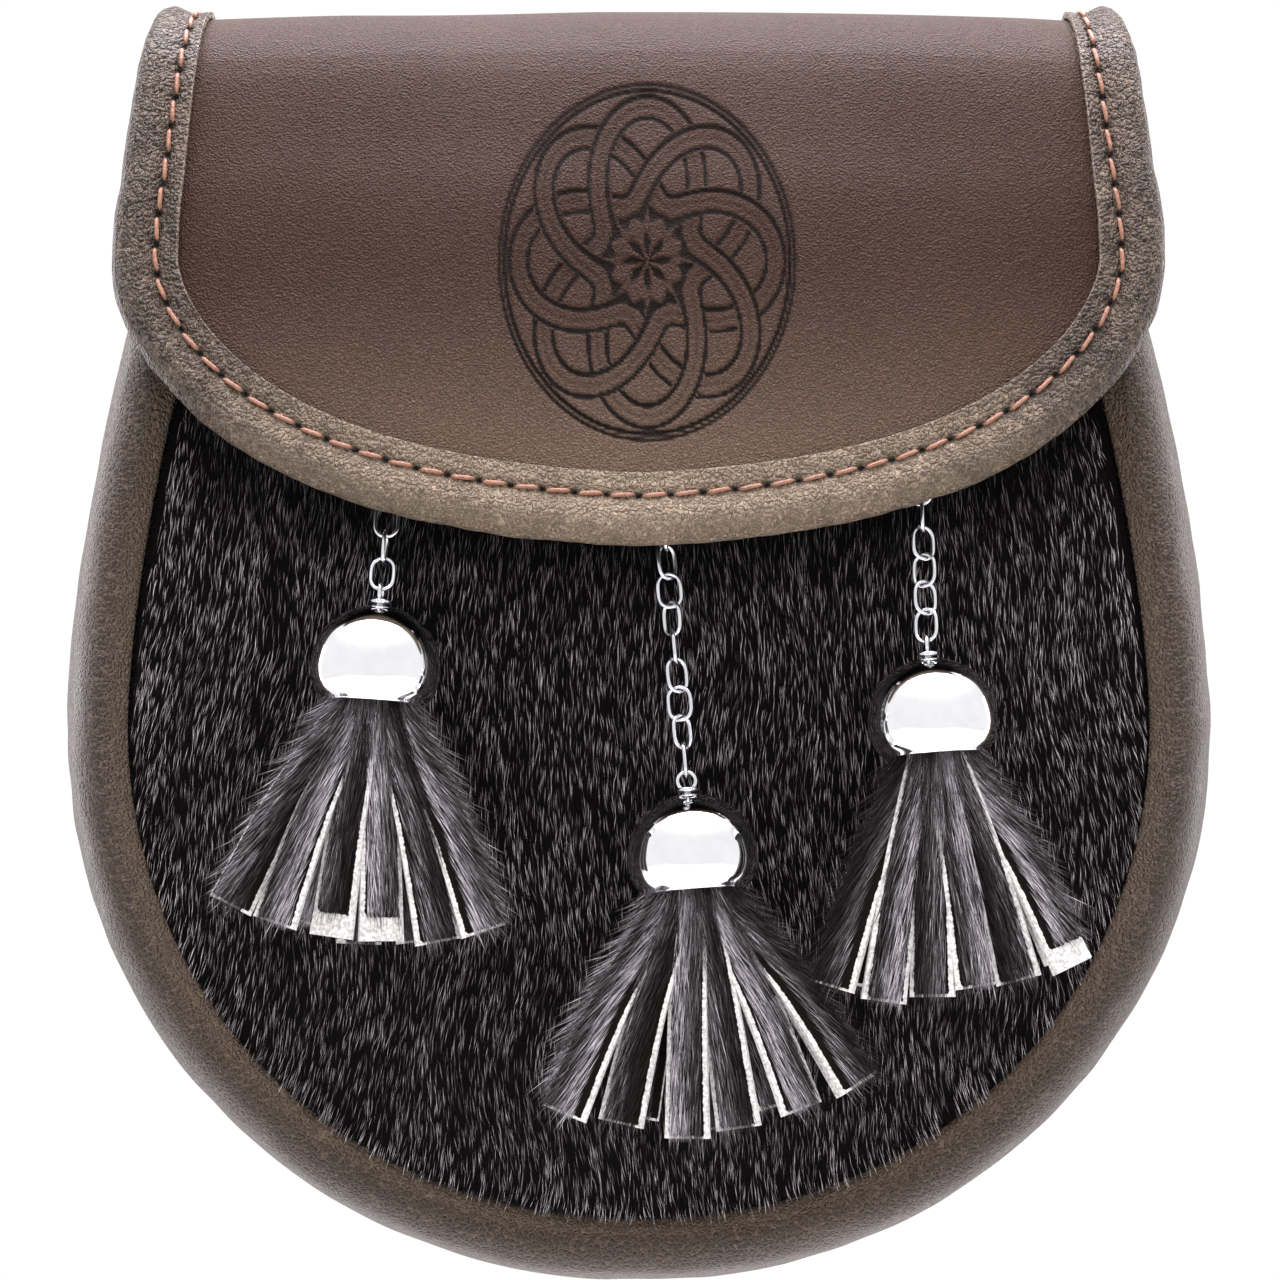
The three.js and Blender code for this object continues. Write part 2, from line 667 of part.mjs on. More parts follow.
function fringeGeometry(spreadBy) {
  const rim = -CAP_DROP - CAP_HEIGHT;
  const plugLength = -PLUG_TOP - rim;
  const plug = new THREE.CylinderGeometry(PLUG_RADIUS, PLUG_RADIUS, plugLength, 12);
  plug.rotateX(Math.PI / 2);
  plug.translate(0, 0, rim + plugLength / 2);
  const strips = STRIP_LAYERS.flatMap((layer) => {
    const fans = Array.from({ length: layer.count }, (_, k) => (2 * k) / (layer.count - 1) - 1);
    return fans.map((fan) => stripGeometry(layer, fan, spreadBy));
  });
  return fuse([plug, ...strips]);
}

// A chain with its tassel: the eye is placed, the links climb from it to the staple

function hangChain(pouch, chain) {
  const capRadius = Math.max(...CAP_ROWS.map((row) => row.radius));
  const capZ = chain.eyeZ - CAP_DROP - CAP_HEIGHT + 5;
  const capX = chain.eyeX + Math.tan(radians(chain.tasselLean)) * (chain.eyeZ - capZ);
  const capMiddleY = frontY(capX, capZ) - capRadius - CAP_OFF_FRONT;
  const eyeY = capMiddleY + Math.tan(radians(TASSEL_TILT)) * (chain.eyeZ - capZ);
  const eye = vector(chain.eyeX, eyeY, chain.eyeZ);

  const half = (LINK_LENGTH - WIRE) / 2;
  const hook = WIRE + LINK_CLEAR;
  const endStep = RING_RADIUS - hook + half;
  const pitch = 2 * half - hook;
  const length = 2 * endStep + (chain.turns.length - 1) * pitch;
  const standoff = RING_RADIUS + WIRE + STAPLE_CLEAR;
  const top = eye.clone().add(vector(Math.sin(radians(chain.chainLean)) * length, 0, length));
  for (let i = 0; i < 8; i += 1) {
    top.y = frontY(top.x, top.z + RING_RADIUS) - standoff;
    const run = Math.hypot(top.x - eye.x, top.y - eye.y);
    top.z = eye.z + Math.sqrt(length ** 2 - run ** 2);
  }
  const line = top.clone().sub(eye).normalize();
  const lie = new THREE.Quaternion().setFromUnitVectors(vector(0, 0, 1), line);

  chain.turns.forEach((turn, k) => {
    const link = named(`chain_${chain.name}_link_${k + 1}`, linkGeometry(), STEEL_LOOK);
    link.position.copy(eye).addScaledVector(line, endStep + k * pitch);
    link.quaternion.copy(lie);
    link.rotateZ(radians(turn));
    pouch.add(link);
  });

  const lastTurn = chain.turns[chain.turns.length - 1];
  const staple = named(`chain_staple_${chain.name}`, stapleGeometry(lastTurn + 90, standoff), STEEL_LOOK);
  staple.position.copy(top);
  pouch.add(staple);

  const tassel = new THREE.Group();
  tassel.position.copy(eye);
  tassel.rotation.set(radians(-TASSEL_TILT), radians(-chain.tasselLean), 0);
  tassel.add(named(`tassel_eye_${chain.name}`, eyeGeometry(chain.eyeTurn), STEEL_LOOK));
  tassel.add(named(`tassel_cap_${chain.name}`, capGeometry(), CHROME_LOOK));
  tassel.add(named(`tassel_fringe_${chain.name}`, fringeGeometry(chain.fan), STRIP_LOOK));
  pouch.add(tassel);
}

const pouch = new THREE.Group();
pouch.position.set(0, -PASSAGE_DEPTH / 2, -LOOP_MIDDLE_Z);
pouch.add(named("back_panel", backGeometry(), GUSSET_LOOK));
pouch.add(named("gusset", gussetGeometry(), GUSSET_LOOK));
pouch.add(named("front_panel", frontGeometry(), HIDE_LOOK));
pouch.add(named("flap", flapGeometry(), LEATHER_LOOK));
pouch.add(named("flap_binding", bindingGeometry(), BINDING_LOOK));
pouch.add(named("strap_loop", loopGeometry(), GUSSET_LOOK));
pouch.add(named("flap_stud", studGeometry(), STEEL_LOOK));
for (const chain of CHAINS) hangChain(pouch, chain);

const sporran = new THREE.Group();
sporran.add(pouch);

export default sporran;
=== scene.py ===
"""A sporran: leather pouch with a furry front, a bound flap and three chained tassels."""

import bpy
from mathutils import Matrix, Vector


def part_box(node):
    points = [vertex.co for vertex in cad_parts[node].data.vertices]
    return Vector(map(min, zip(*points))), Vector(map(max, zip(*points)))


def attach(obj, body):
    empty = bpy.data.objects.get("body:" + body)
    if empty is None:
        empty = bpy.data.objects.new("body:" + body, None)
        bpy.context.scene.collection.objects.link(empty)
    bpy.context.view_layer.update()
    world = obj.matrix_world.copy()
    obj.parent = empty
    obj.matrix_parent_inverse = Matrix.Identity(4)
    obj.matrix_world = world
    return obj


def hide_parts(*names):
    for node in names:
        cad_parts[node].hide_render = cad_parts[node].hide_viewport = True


bl_info = {
    "name": "Sporran Pouch",
    "version": (1, 0, 0),
    "blender": (4, 5, 0),
    "location": "View3D > Sidebar > Sporran",
    "description": "Dresses a sporran pouch in leather, fur, chain and tassels",
    "category": "Object",
}

import math

import bmesh
import bpy
import numpy as np
from mathutils import Vector

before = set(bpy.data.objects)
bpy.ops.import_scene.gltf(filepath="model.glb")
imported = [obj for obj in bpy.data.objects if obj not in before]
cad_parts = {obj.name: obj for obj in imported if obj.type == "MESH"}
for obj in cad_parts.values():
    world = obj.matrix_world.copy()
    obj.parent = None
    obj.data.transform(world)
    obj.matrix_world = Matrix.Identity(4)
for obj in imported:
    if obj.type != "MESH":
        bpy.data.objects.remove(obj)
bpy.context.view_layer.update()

MM = 0.001
BODY = "root"

# Shape of the pouch in millimetres, about a point 16 mm over the strap loop's middle
POUCH_SHIFT = np.array((0.0, -3.0, 16.0))
GAP = 0.3
GUSSET_WALL = 2.0
BACK_WALL = 2.4
FLAP_WALL = 2.0
BINDING_WALL = 1.0
HALF_WIDTH = 90.0
BELLY_Z = -68.0
BELLY_DROP = 88.0
BELLY_ROUNDNESS = 2.06
MOUTH_Z = 24.0
MOUTH_HALF = 72.0
SIDE_TAPER = 1.6
DEPTH_BELLY = 42.0
DEPTH_MOUTH = 29.0
DEPTH_FOOT = 34.0
DEPTH_Z = -70.0
MOUTH_REACH = 94.0
FOOT_REACH = 86.0

# Gusset section: in from the outline, share of the depth, set back behind the crest
GUSSET_SECTION = np.array((
    (4.4, 0.0, 0.0),
    (1.4, 0.18, 0.0),
    (0.0, 0.5, 0.0),
    (0.9, 0.82, 0.0),
    (3.4, 0.965, 0.0),
    (6.8, 1.0, 0.0),
    (10.2, 1.0, 2.8),
))
GUSSET_LANES = 49
# Lanes of the gusset over which its paler crest begins and ends
LIGHTER_STARTS = (38, 44)
LIGHTER_ENDS = (46, 48)

FRONT_INSET = 10.6
FRONT_RECESS = 2.4
FRONT_DOME = 6.0
FRONT_DOME_POWER = 2.2
FRONT_CENTRE_Z = -64.0
FRONT_WALL = 3.0
HIDE_UNDER_HAIR = 1.5
FRONT_HALF = 80.0
FRONT_FOOT_Z = -147.0

BACK_INSET = 2.4
BACK_TOP_Z = 27.0
BACK_STEPS = 7
BACK_SEAM = 3.2
BACK_UNSEWN = 4
BACKWARD = (0.0, 1.0, 0.0)
# Back edge: in from the outside, depth from the rear face
BACK_EDGE = ((0.5, 0.0), (0.12, -0.12), (0.0, -0.5), (0.0, -1.9), (0.12, -2.28), (0.5, -2.4))

# Flap profile: depth, height, half width, hang of the edges
FLAP_ROWS = np.array((
    (1.3, 14.5, 69.0, 0.0),
    (1.3, 22.0, 70.4, 0.0),
    (1.3, 29.5, 71.8, 0.1),
    (-3.8, 39.4, 73.2, 0.6),
    (-15.5, 43.6, 74.2, 1.6),
    (-29.0, 37.8, 75.9, 3.0),
    (-38.6, 22.5, 78.0, 5.2),
    (-45.3, 6.0, 79.7, 7.0),
    (-56.4, -38.0, 79.7, 8.0),
))
SAG_POWER = 2.2
CORNER_ROW = 7
CORNER_SHARE = CORNER_ROW / (len(FLAP_ROWS) - 1)
CORNER_HALF = FLAP_ROWS[CORNER_ROW, 2]
LIP_ACROSS = 1.4
LIP_DOWN = 2.25
FOOT_SEAM_SHARE = 0.045
FOOT_SEAM_HALF = 64.0

# Binding section: share of the width in from the outside, height over the leather
BINDING_SECTION = np.array((
    (1.0, 2.25),
    (0.66, 2.35),
    (0.36, 3.35),
    (0.12, 2.65),
    (0.0, 0.4),
    (0.1, -2.1),
    (0.36, -2.8),
    (0.9, -2.4),
))
BINDING_WIDTH_RIDGE = 9.0
BINDING_WIDTH_LIP = 11.2
BINDING_OVERHANG = 2.6
BINDING_FOOT_SHARE = 2.35 / 8
BINDING_FRONT_LANES = 23
SEAM_IN = 2.2
SEAM_IN_LIP = 1.5
SEAM_SPREAD = 0.9
SEAM_GROOVE = 0.34
SEAM_PUFF = 0.07
PUFF_REACH = 4.0
HOLE_ALONG = 0.55
HOLE_ACROSS = 0.42
HOLE_DEPTH = 0.55
HOLE_SHADE = (0.006, 0.005, 0.004)

LOOP_MIDDLE_Z = -16.0
LOOP_WIDTH = 60.0
PASSAGE_HEIGHT = 34.0
PASSAGE_DEPTH = 6.0
LOOP_WALL = 2.0
LOOP_FOOT = 8.0
LOOP_RAMP = 3.0
LOOP_ROUNDING = 0.45
LOOP_SEAM_IN = 3.0

STUD_Z = -15.0
STUD_RADIUS = 5.0
# Stud: share of the way from its middle to an end, share of the radius
STUD_PROFILE = np.array((
    (-1.0, 0.9),
    (-0.93, 1.0),
    (-0.2, 1.0),
    (-0.15, 0.9),
    (0.0, 0.88),
    (0.15, 0.9),
    (0.2, 1.0),
    (0.93, 1.0),
    (1.0, 0.9),
))

LINK_LENGTH = 5.9
LINK_WIDTH = 4.2
WIRE = 0.65
LINK_CLEAR = 0.12
RING_RADIUS = 1.4
STAPLE_CLEAR = 0.6

CAP_HEIGHT = 15.2
CAP_WALL = 0.9
CAP_HOLE = 0.95
CAP_DROP = 2.0
CAP_OFF_FRONT = 0.5
CAP_BELLY = 5.0
CAP_RIM = -CAP_DROP - CAP_HEIGHT
TASSEL_TILT = 6.0
# Cap: height over its rim, radius
CAP_ROWS = np.array((
    (0.0, 7.9),
    (1.4, 9.1),
    (3.4, 9.9),
    (5.8, 10.1),
    (8.8, 9.5),
    (11.4, 8.1),
    (13.6, 5.6),
    (14.8, 2.9),
))
# Rolled rim: radius, height over the rim
CAP_LIP = np.array(((7.2, -0.14), (7.5, -0.2), (7.8, -0.14)))
PLUG_TOP = 8.3
PLUG_RADIUS = 6.2

STRIP_LAYERS = (
    {"count": 5, "mouth_x": 3.2, "mouth_y": 2.4, "tip_x": 19.4, "tip_y": 5.2, "length": 36.5},
    {"count": 6, "mouth_x": 3.1, "mouth_y": -3.0, "tip_x": 20.0, "tip_y": -1.6, "length": 38.0},
)
STRIP_HIDE = 0.9
STRIP_WIDTH_MOUTH = 4.0
STRIP_WIDTH_TIP = 7.2
STRIP_CUP = 0.5
STRIP_LANES = np.array((-1.0, -0.9, -0.7, -0.4, 0.0, 0.4, 0.7, 0.9, 1.0))
STRIP_OUTERMOST = 0.95
# Strength of the painted glints on alternate strips
STRIP_BRIGHTNESS = (0.35, 1.7)

CHAINS = (
    {"name": "left", "eye_x": -39.9, "eye_z": -47.7, "chain_lean": 3.8, "tassel_lean": -4.0,
     "fan": 1.0, "bare": (2, 3), "eye_turn": 82, "turns": (-5, 85, -5, 82, -8)},
    {"name": "middle", "eye_x": 7.4, "eye_z": -76.8, "chain_lean": -5.0, "tassel_lean": 4.4,
     "fan": 1.12, "bare": (), "eye_turn": 0, "turns": (90, 45, -12, 36, 88, -48, 0, 45, 92, 0)},
    {"name": "right", "eye_x": 44.6, "eye_z": -55.8, "chain_lean": -1.4, "tassel_lean": 4.4,
     "fan": 0.9, "bare": (5,), "eye_turn": 88, "turns": (-28, 28, -28, 28, 88, -28, 28)},
)

# Engraved knot on the flap
KNOT_X = 1.3
KNOT_Z = 4.0
KNOT_WIDE = 23.0
KNOT_TALL = 28.0
KNOT_TURNS = 3
KNOT_PETALS = 8
KNOT_BAND = 1.6
KNOT_LINE = 0.3
KNOT_MIDDLE = 0.6
KNOT_SWING = 0.27
# Rings round the knot: share of its radius, strength of the burn
KNOT_RINGS = ((0.965, 1.0), (1.0, 0.8))

# Stage in metres
CAMERA_AIM = Vector((0.0002, -0.024, -0.039))
CAMERA_DISTANCE = 1.6
CAMERA_SEES = 0.2022
CAMERA_SENSOR = 36
FLOOR_HALF = 1.6
FLOOR_Z = -0.5
# Lamps: name, place, size, power in watts
LAMPS = (
    ("ridge_light", (0.0, 0.1, 0.72), 0.95, 32.0),
    ("left_light", (-0.8, 0.6, 0.0), 0.7, 6.0),
    ("right_light", (0.8, 0.6, 0.0), 0.7, 4.0),
    ("key_light", (0.15, -1.0, 0.25), 0.6, 3.0),
)

X_AXIS, Y_AXIS, Z_AXIS = range(3)
STITCH_SAMPLES = 9


def linear(red, green, blue):
    """Linear colour from display values of 0 to 255."""
    def one(value):
        value /= 255
        return value / 12.92 if value <= 0.04045 else ((value + 0.055) / 1.055) ** 2.4
    return one(red), one(green), one(blue)


def colour(name, description, red, green, blue):
    """A colour that the user can change."""
    return bpy.props.FloatVectorProperty(
        name=name, description=description, subtype="COLOR", size=3, min=0, max=1,
        default=linear(red, green, blue))


def length(name, description, millimetres):
    """A length that the user can change."""
    return bpy.props.FloatProperty(
        name=name, description=description, default=millimetres * MM, min=0,
        subtype="DISTANCE", unit="LENGTH", precision=5)


class SporranColours(bpy.types.PropertyGroup):
    """Colours of the leathers, hair, thread and metal."""
    flap: colour("Flap", "Smooth leather of the flap", 38, 20, 10)
    flap_sheen: colour("Flap sheen", "Cooler tone of the flap's leather", 45, 27, 16)
    # Painted sheen towards the flap's lip
    flap_lip_sheen: colour("Painted flap sheen", "Flap leather rubbed pale at the lip", 112, 94, 78)
    burnt: colour("Burnt line", "Engraved lines on the flap", 15, 8, 4)
    binding: colour("Binding", "Soft leather of the flap's edge", 29, 20, 13)
    crease: colour("Crease", "Rubbed creases of the leather", 136, 118, 98)
    rubbed: colour("Rubbed", "Leather worn pale at the lip", 190, 172, 146)
    # Pale lip colour of the binding: partly wear, partly painted highlight
    cut_edge: colour("Cut edge", "Raw edge of the binding", 186, 168, 150)
    body: colour("Body", "Pebbled leather of gusset and back", 54, 37, 24)
    thread: colour("Thread", "Waxed sewing thread", 160, 114, 92)
    hair_dark: colour("Dark hair", "Most of the front's hair", 5, 3, 3)
    # Painted glints of the front's hair
    hair_glint: colour("Front hair glint", "Few paler hairs", 224, 216, 218)
    strip_dark: colour("Strip hair", "Dark hair of the tassels", 16, 12, 10)
    # Painted glints of the tassels' hair
    strip_glint: colour("Strip hair glint", "Paler hair of the tassels", 216, 211, 216)
    flesh: colour("Flesh side", "Cut edges and back of the hide", 214, 212, 209)
    chrome: colour("Chrome", "Plated caps", 244, 244, 246)
    steel: colour("Steel", "Chain and fittings", 224, 224, 228)


class SporranSizes(bpy.types.PropertyGroup):
    """Sizes of the sewing and the hair."""
    stitch_pitch: length("Stitch pitch", "From one stitch to the next", 4.95)
    stitch_length: length("Stitch length", "Thread that shows in one stitch", 3.6)
    thread_width: length("Thread width", "Across the thread", 0.72)
    hair_length: length("Hair length", "Hair of the front", 2.9)
    hair_width: length("Hair width", "Across one lock of hair", 0.05)
    strip_hair: length("Strip hair", "Hair of the tassels", 6.0)
    groove: length("Groove", "Depth of the engraved lines", 0.3)
    hair_count: bpy.props.IntProperty(
        name="Hairs", description="Hairs in each half of the front", default=46000, min=0)
    strip_hair_count: bpy.props.IntProperty(
        name="Strip hairs", description="Hairs on each strip of a tassel", default=1800, min=0)


class SporranSettings(bpy.types.PropertyGroup):
    """All that a user would change."""
    colours: bpy.props.PointerProperty(type=SporranColours)
    sizes: bpy.props.PointerProperty(type=SporranSizes)


# Curves and surfaces

def along(rows, share):
    """Smooth curve through the rows of a table; share may be an array."""
    share = np.asarray(share, float)
    at = share * (len(rows) - 1)
    first = np.clip(np.floor(at).astype(int), 0, len(rows) - 2)
    t = (at - first)[..., None]
    a, b, c, d = (rows[np.clip(first + k, 0, len(rows) - 1)] for k in (-1, 0, 1, 2))
    slope_in, slope_out = (c - a) / 2, (d - b) / 2
    return (b + slope_in * t + (3 * (c - b) - 2 * slope_in - slope_out) * t**2
            + (2 * (b - c) + slope_in + slope_out) * t**3)


def unit(vectors):
    """Vectors made one long."""
    return vectors / np.maximum(np.linalg.norm(vectors, axis=-1, keepdims=True), 1e-12)


def run_length(points):
    """Distance along a line to each of its points."""
    return np.concatenate(((0,), np.cumsum(np.linalg.norm(np.diff(points, axis=0), axis=1))))


def read_off(places, run, table):
    """Rows of a table, read off at places along a run."""
    return np.stack([np.interp(places, run, column) for column in table.T], -1)


def smooth(value, low, high):
    """0 below low, 1 above high, with a soft step between."""
    t = np.clip((value - low) / (high - low), 0, 1)
    return t * t * (3 - 2 * t)


def waves(points, size, seed, count=14):
    """Soft seeded unevenness of about one, with features of the given size."""
    draw = np.random.default_rng(seed)
    total = np.zeros(points.shape[:-1])
    for _ in range(count):
        way = unit(draw.normal(size=3)) * (2 * math.pi / size) * draw.uniform(0.6, 1.6)
        total += np.sin(points @ way + draw.uniform(0, 2 * math.pi))
    return total / math.sqrt(count / 2)


def half_width_at(z):
    """Half width of the pouch's outline."""
    rise = np.clip((z - BELLY_Z) / (MOUTH_Z - BELLY_Z), 0, None)
    upper = HALF_WIDTH - (HALF_WIDTH - MOUTH_HALF) * rise**SIDE_TAPER
    fall = np.clip((BELLY_Z - z) / BELLY_DROP, 0, 1)
    lower = HALF_WIDTH * (1 - fall**BELLY_ROUNDNESS) ** (1 / BELLY_ROUNDNESS)
    return np.where(z > BELLY_Z, upper, lower)


def depth_at(z):
    """Depth from the back panel's rear face to the crest of the front roll."""
    up = (DEPTH_BELLY - DEPTH_MOUTH) * ((z - DEPTH_Z) / MOUTH_REACH) ** 2
    down = (DEPTH_BELLY - DEPTH_FOOT) * ((DEPTH_Z - z) / FOOT_REACH) ** 2
    return DEPTH_BELLY - np.where(z > DEPTH_Z, up, down)


def outline(top_z, side_steps, belly_steps):
    """Points round the pouch from the left of the mouth to the right, with inward directions."""
    z = np.linspace(top_z, BELLY_Z, side_steps, endpoint=False)
    left = np.stack((-half_width_at(z), z), -1)
    angle = np.linspace(0, math.pi, belly_steps + 1)
    power = 2 / BELLY_ROUNDNESS
    across = np.cos(angle)
    belly = np.stack((-HALF_WIDTH * np.sign(across) * np.abs(across) ** power,
                      BELLY_Z - BELLY_DROP * np.abs(np.sin(angle)) ** power), -1)
    right = left[::-1] * (-1, 1)
    points = np.concatenate((left, belly, right))
    run = np.gradient(points, axis=0)
    inward = unit(np.stack((-run[:, 1], run[:, 0]), -1))
    inward[0], inward[-1] = (1, 0), (-1, 0)
    return points, inward


def front_reach():
    """Distance from the middle of the front panel to its edge, by angle."""
    points, inward = outline(MOUTH_Z, 60, 240)
    seam = points + inward * FRONT_INSET
    steps = np.linspace(0, 1, 80)[1:-1, None]
    edge = seam[-1] + (seam[0] - seam[-1]) * steps
    loop = np.concatenate((seam, edge)) - (0, FRONT_CENTRE_Z)
    angle = np.arctan2(loop[:, 1], loop[:, 0])
    order = np.argsort(angle)
    return angle[order], np.linalg.norm(loop, axis=1)[order]


REACH_ANGLE, REACH = front_reach()


def front_share(x, z):
    """Share of the way from the middle of the front panel to its edge."""
    angle = np.arctan2(z - FRONT_CENTRE_Z, x)
    reach = np.interp(angle, REACH_ANGLE, REACH, period=2 * math.pi)
    return np.hypot(x, z - FRONT_CENTRE_Z) / reach


def front_y(x, z):
    """Outer face of the front panel with its hair."""
    share = np.clip(front_share(x, z), 0, 1)
    return FRONT_RECESS - depth_at(z) - FRONT_DOME * (1 - share**FRONT_DOME_POWER)


def front_normal(x, z):
    """Outward direction of the front panel."""
    step = 0.5
    slope_x = (front_y(x + step, z) - front_y(x - step, z)) / (2 * step)
    slope_z = (front_y(x, z + step) - front_y(x, z - step)) / (2 * step)
    return unit(np.stack((slope_x, -np.ones_like(slope_x), slope_z), -1))


def flap_middle(share, x):
    """Middle of the flap's leather for a share of its profile and a distance across."""
    share, x = np.broadcast_arrays(np.asarray(share, float), np.asarray(x, float))
    at = along(FLAP_ROWS, share)
    run = along(FLAP_ROWS, np.minimum(share + 1e-3, 1)) - along(FLAP_ROWS, np.maximum(share - 1e-3, 0))
    normal = unit(np.stack((run[..., 1], -run[..., 0]), -1))
    hang = at[..., 3] * np.abs(x / at[..., 2]) ** SAG_POWER
    return np.stack((x, at[..., 0] - normal[..., 0] * hang, at[..., 1] - normal[..., 1] * hang), -1)


def flap_normal(share, x):
    """Outward direction of the flap."""
    share, x = np.broadcast_arrays(np.asarray(share, float), np.asarray(x, float))
    down = (flap_middle(np.minimum(share + 2e-3, 1), x)
            - flap_middle(np.maximum(share - 2e-3, 0), x))
    across = flap_middle(share, x + 0.2) - flap_middle(share, x - 0.2)
    return unit(np.cross(down, across))


def lip_share(across):
    """Share of the profile at the flap's lip, by share of its half width."""
    reach = np.clip(1 - np.abs(across) ** LIP_ACROSS, 0, 1) ** (1 / LIP_DOWN)
    return CORNER_SHARE + (1 - CORNER_SHARE) * reach


def binding_path(count):
    """Edge of the flap from one rear end to the other: middle, inward, normal, width, growth."""
    side = np.linspace(BINDING_FOOT_SHARE, CORNER_SHARE, 400, endpoint=False)
    half = along(FLAP_ROWS, side)[:, 2]
    angle = np.linspace(-math.pi / 2, math.pi / 2, 1200)
    across = np.sign(angle) * np.abs(np.sin(angle)) ** (2 / LIP_ACROSS)
    share = np.concatenate((side, lip_share(across), side[::-1]))
    x = np.concatenate((-half, across * CORNER_HALF, half[::-1]))
    middle = flap_middle(share, x)
    run = run_length(middle)
    even = np.linspace(0, run[-1], count)
    share, x = np.interp(even, run, share), np.interp(even, run, x)
    middle = flap_middle(share, x)
    normal = flap_normal(share, x)
    inward = unit(np.cross(normal, np.gradient(middle, axis=0)))
    grow = smooth(share, 0.5, 1)
    width = BINDING_WIDTH_RIDGE + (BINDING_WIDTH_LIP - BINDING_WIDTH_RIDGE) * grow
    return middle, inward, normal, width, grow


# Meshes

def row_frame(points):
    """Pouch millimetres to the row's frame in metres."""
    return (np.asarray(points, float) + POUCH_SHIFT) * MM


def grid_faces(rows, columns, wrap_rows=False, wrap_columns=False, start=0):
    """Quads over a grid of points."""
    i, j = np.meshgrid(np.arange(rows if wrap_rows else rows - 1),
                       np.arange(columns if wrap_columns else columns - 1), indexing="ij")
    below, beside = (i + 1) % rows, (j + 1) % columns
    faces = np.stack((i * columns + j, below * columns + j,
                      below * columns + beside, i * columns + beside), -1)
    return faces.reshape(-1, 4) + start


def make_piece(name, points, faces, finish, replaced=(), slot=None, tidy=True, sharp=None, values=None):
    """Object from millimetre points and faces, riding on the pouch."""
    mesh = bpy.data.meshes.new(name)
    mesh.from_pydata(row_frame(points).tolist(), [], [list(face) for face in faces])
    for key, numbers in (values or {}).items():
        layer = mesh.attributes.new(key, "FLOAT", "POINT")
        layer.data.foreach_set("value", np.asarray(numbers, np.float32))
    if tidy:
        shell = bmesh.new()
        shell.from_mesh(mesh)
        bmesh.ops.remove_doubles(shell, verts=shell.verts, dist=2e-6)
        bmesh.ops.dissolve_degenerate(shell, edges=shell.edges, dist=1e-6)
        bmesh.ops.recalc_face_normals(shell, faces=shell.faces)
        shell.to_mesh(mesh)
        shell.free()
    mesh.shade_smooth()
    if sharp:
        mesh.set_sharp_from_angle(angle=math.radians(sharp))
    mesh.materials.append(finish)
    piece = bpy.data.objects.new(name, mesh)
    bpy.context.scene.collection.objects.link(piece)
    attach(piece, BODY)
    if replaced:
        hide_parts(*replaced)
    return piece


def sheet_mesh(outer, inner, ring=False):
    """Points and faces of a sheet with two faces and closed edges."""
    rows, columns = outer.shape[:2]
    points = np.concatenate((outer.reshape(-1, 3), inner.reshape(-1, 3)))
    under = rows * columns
    faces = [grid_faces(rows, columns), grid_faces(rows, columns, start=under)[:, ::-1]]

    def edge(line):
        line = np.asarray(line)
        return np.stack((line[:-1], line[:-1] + under, line[1:] + under, line[1:]), -1)

    faces.append(edge(np.arange(columns))[:, ::-1])
    faces.append(edge((rows - 1) * columns + np.arange(columns)))
    if not ring:
        faces.append(edge(np.arange(rows) * columns))
        faces.append(edge(np.arange(rows) * columns + columns - 1)[:, ::-1])
    return points, np.concatenate(faces)


def outer_only(values):
    """One value for each point of a sheet: the given ones outside and 0 inside."""
    return np.concatenate((values.ravel(), np.zeros(values.size)))


def tube_mesh(path, radius, sides, closed=False, up=None):
    """Points and faces of a round tube along a path; radius may change along it."""
    path = np.asarray(path, float)
    count = len(path)
    if closed:
        run = unit(np.roll(path, -1, 0) - np.roll(path, 1, 0))
    else:
        run = unit(np.gradient(path, axis=0))
    if up is None:
        up = np.array((0.31, 0.87, 0.38))
    side = unit(np.cross(run, up))
    rise = np.cross(side, run)
    angle = np.linspace(0, 2 * math.pi, sides, endpoint=False)
    radius = np.broadcast_to(np.asarray(radius, float), (count,))
    ring = side[:, None] * np.cos(angle)[:, None] + rise[:, None] * np.sin(angle)[:, None]
    points = path[:, None] + ring * radius[:, None, None]
    faces = [list(face) for face in grid_faces(count, sides, closed, True)]
    if not closed:
        faces.append(list(range(sides)))
        faces.append(list(range(sides * (count - 1), sides * count))[::-1])
    return points.reshape(-1, 3), faces


def lathe_mesh(profile, sides):
    """Points and faces of a closed profile of radius and height turned about Z."""
    profile = np.asarray(profile, float)
    angle = np.linspace(0, 2 * math.pi, sides, endpoint=False)
    points = np.stack((profile[:, None, 0] * np.cos(angle), profile[:, None, 0] * np.sin(angle),
                       np.broadcast_to(profile[:, None, 1], (len(profile), sides))), -1)
    return points.reshape(-1, 3), grid_faces(len(profile), sides, True, True)


def joined(parts):
    """One list of points and faces from several."""
    points, faces, start = [], [], 0
    for some, quads in parts:
        points.append(np.asarray(some))
        faces.extend([[int(k) + start for k in face] for face in quads])
        start += len(some)
    return np.concatenate(points), faces


def turned(points, rotation, place):
    """Points turned and then moved."""
    return np.asarray(points) @ np.asarray(rotation).T + np.asarray(place)


def turn_about(axis, degrees):
    """Rotation matrix about one axis."""
    first, second = (axis + 1) % 3, (axis + 2) % 3
    c, s = math.cos(math.radians(degrees)), math.sin(math.radians(degrees))
    matrix = np.eye(3)
    matrix[first, first] = matrix[second, second] = c
    matrix[first, second], matrix[second, first] = -s, s
    return matrix


